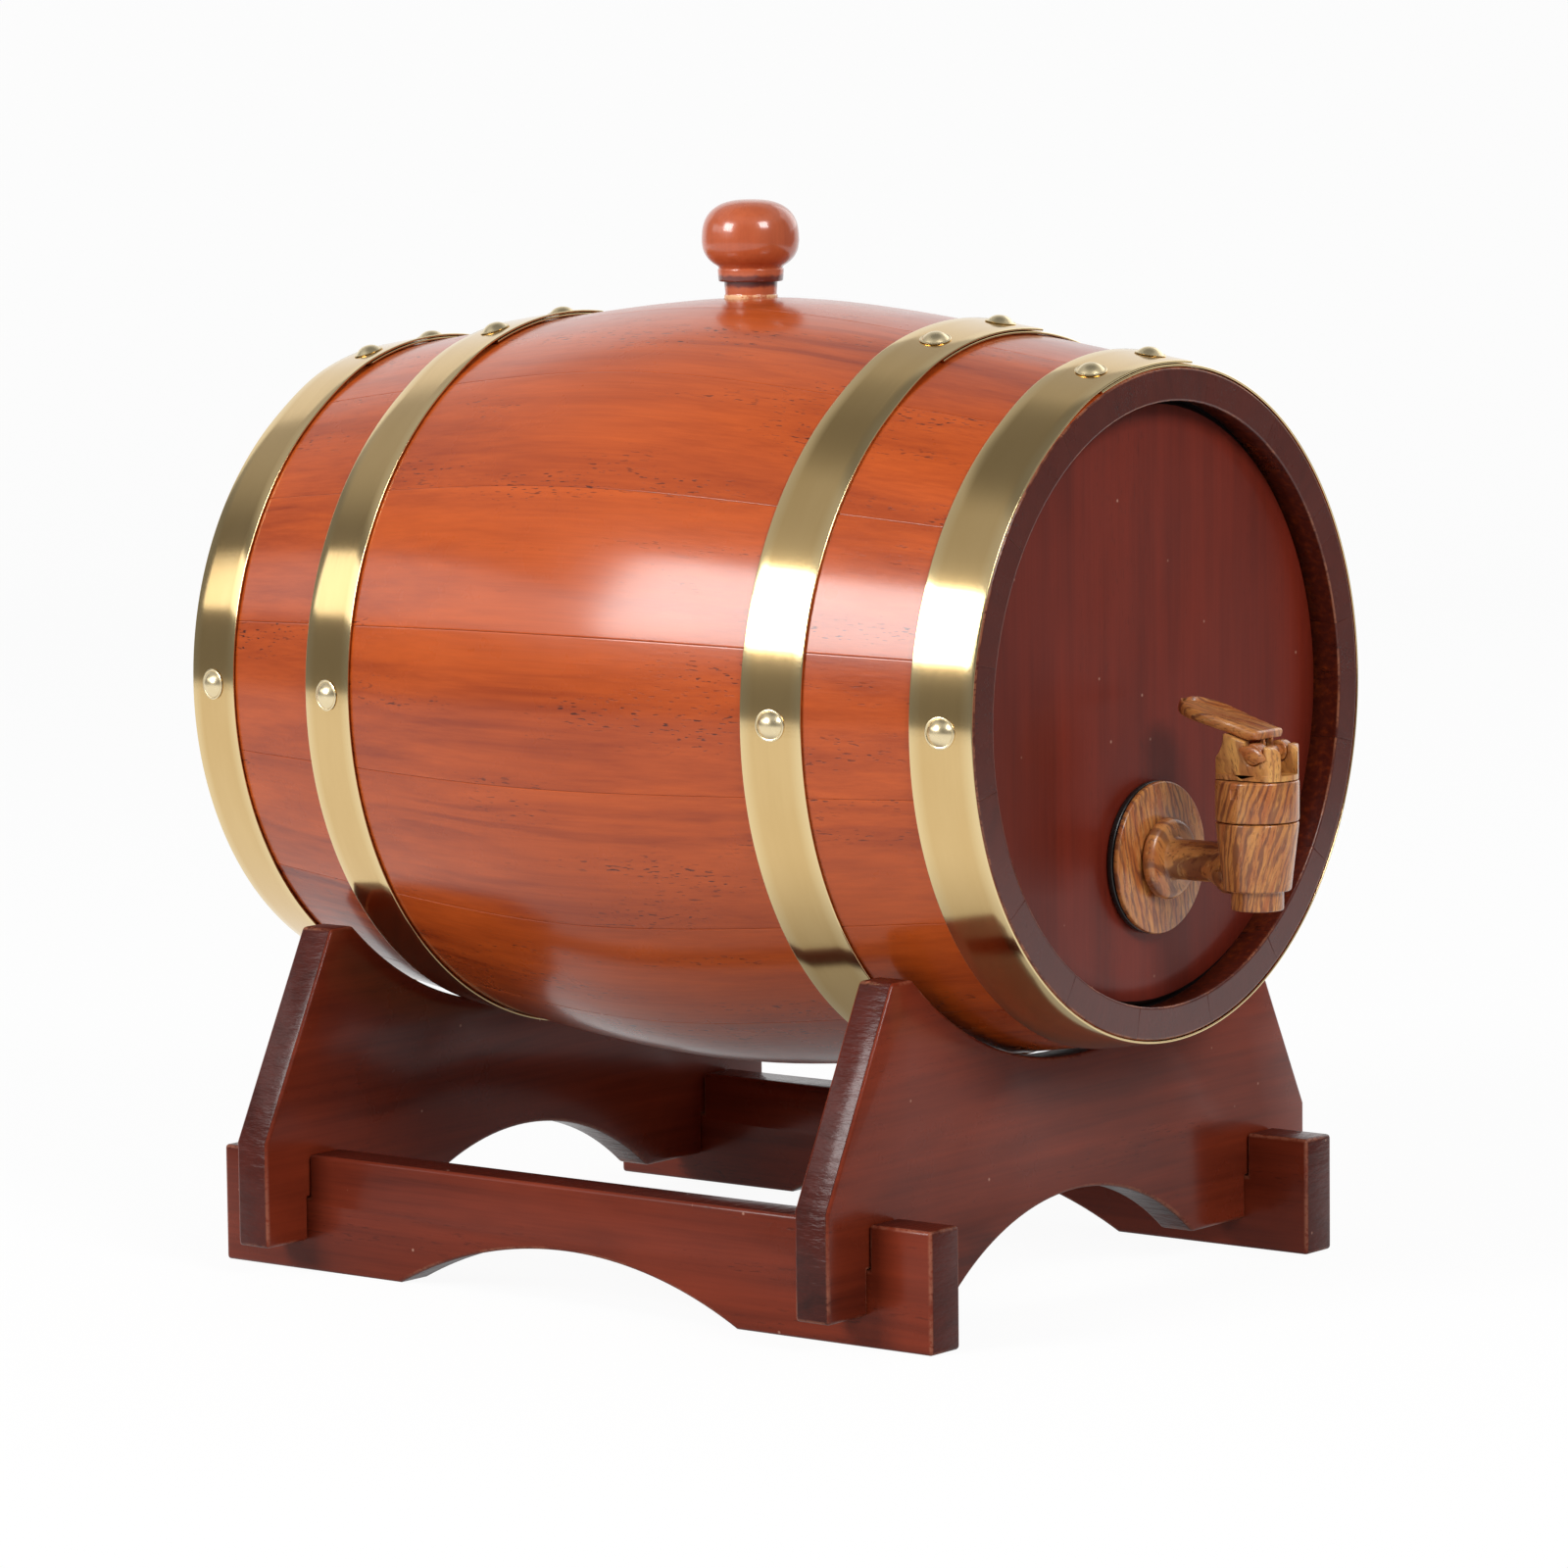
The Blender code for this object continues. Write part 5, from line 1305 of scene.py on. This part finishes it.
def paper(name):
    """White paper that still takes a soft shadow. It is raised to white where it is seen or mirrored, but where
    mirrored it is dim in the dark part of the room and darker close under the cask, a painted shadow.
    """
    made, tree, shader = shader_of(name)
    grain = noise(tree, add(tree, "ShaderNodeTexCoord").outputs["Object"], (3.0, 3.0, 3.0), 3.0)
    rays = add(tree, "ShaderNodeLightPath").outputs
    tone = blended(tree, maths(tree, "MULTIPLY", grain, 0.1), (0.50, 0.50, 0.50, 1), (0.48, 0.48, 0.47, 1))
    tone = blended(tree, rays["Is Camera Ray"], tone, (0.95, 0.95, 0.95, 1))
    tree.links.new(tone, shader.inputs["Base Color"])
    shader.inputs["Roughness"].default_value = 0.9
    shader.inputs["Specular IOR Level"].default_value = 0.1
    mirrored = maths(tree, "MAXIMUM", rays["Is Glossy Ray"], rays["Is Transmission Ray"])
    seen = maths(tree, "MAXIMUM", maths(tree, "MULTIPLY", rays["Is Camera Ray"], WHITE_LIFT), mirrored)
    bright = maths(tree, "MAXIMUM", rays["Is Camera Ray"], table_mask_with_painted_shadow(tree))
    level = ramp(tree, bright, 0.0, 1.0, DARK_ROOM, 1.0)
    white = add(tree, "ShaderNodeEmission", {"Color": (1, 1, 1, 1), "Strength": level})
    mixed = add(tree, "ShaderNodeMixShader", {0: seen, 1: shader.outputs[0], 2: white.outputs[0]})
    tree.links.new(mixed.outputs[0], tree.nodes["Material Output"].inputs["Surface"])
    return made


def sweep(name, half, back, height, bend, look):
    """A floor that curves up into a wall behind, turned to face the camera."""
    bm = bmesh.new()
    path = [(-half, 0.0), (back - bend, 0.0)]
    path += [(back - bend + bend * math.sin(a), bend - bend * math.cos(a))
             for a in (math.pi / 2 * k / 16 for k in range(1, 17))]
    path.append((back, height))
    rows = []
    for along, rise in path:
        row = []
        for side in (-half, half):
            away = -backward * along / math.cos(HEIGHT_ANGLE) + level_right * side
            row.append(bm.verts.new((away.x, away.y, rise)))
        rows.append(row)
    for near, far in zip(rows, rows[1:]):
        bm.faces.new((near[0], near[1], far[1], far[0]))
    mesh = bpy.data.meshes.new(name)
    bm.to_mesh(mesh)
    bm.free()
    mesh.shade_smooth()
    mesh.materials.append(look)
    made = bpy.data.objects.new(name, mesh)
    bpy.context.scene.collection.objects.link(made)
    return made


sweep("studio_sweep", 4.0, 3.0, 2.6, 0.6, paper("studio_paper"))

# %% Lamps and room
AIM = Vector((0.0, 0.0, 0.18))


def soft_box(name, heading, height, distance, width, tall, radiance):
    """A lamp that faces the cask. Heading is measured from -X towards +Y, and radiance is how bright it looks."""
    heading, height = math.radians(heading), math.radians(height)
    toward = Vector((-math.cos(heading) * math.cos(height), math.sin(heading) * math.cos(height), math.sin(height)))
    data = bpy.data.lights.new(name, "AREA")
    data.shape = "RECTANGLE"
    data.size = width
    data.size_y = tall
    data.energy = radiance * math.pi * width * tall
    lamp = bpy.data.objects.new(name, data)
    bpy.context.scene.collection.objects.link(lamp)
    lamp.location = AIM + toward * distance
    lamp.rotation_euler = toward.to_track_quat("Z", "Y").to_euler()
    return lamp


soft_box("key_box", 19.5, 25.0, 2.5, 0.98, 0.88, 16.5)
soft_box("glow_box", 50.0, 17.5, 2.5, 1.45, 0.55, 1.8)
soft_box("front_box", -73.0, 33.0, 2.4, 0.80, 0.75, 15.0)
soft_box("right_box", 188.0, 27.0, 2.4, 2.0, 1.6, 0.9)

world = bpy.data.worlds.new("studio_room")
bpy.context.scene.world = world
world.use_nodes = True
sky = world.node_tree
rays = add(sky, "ShaderNodeLightPath").outputs
lean = add(sky, "ShaderNodeSeparateXYZ", {0: add(sky, "ShaderNodeTexCoord").outputs["Generated"]}).outputs["Z"]
glow = maths(sky, "MULTIPLY", ramp(sky, lean, 0.45, 0.60), ramp(sky, lean, 0.84, 0.92, 1.0, 0.0))
room = maths(sky, "MULTIPLY_ADD", glow, 0.28, DARK_ROOM)
level = add(sky, "ShaderNodeMix", {0: rays["Is Diffuse Ray"], 2: room, 3: 0.30}, data_type="FLOAT").outputs[0]
level = maths(sky, "MAXIMUM", level, rays["Is Camera Ray"])
shade = add(sky, "ShaderNodeCombineColor", {0: level, 1: level, 2: level}).outputs[0]
sky.links.new(shade, sky.nodes["Background"].inputs["Color"])
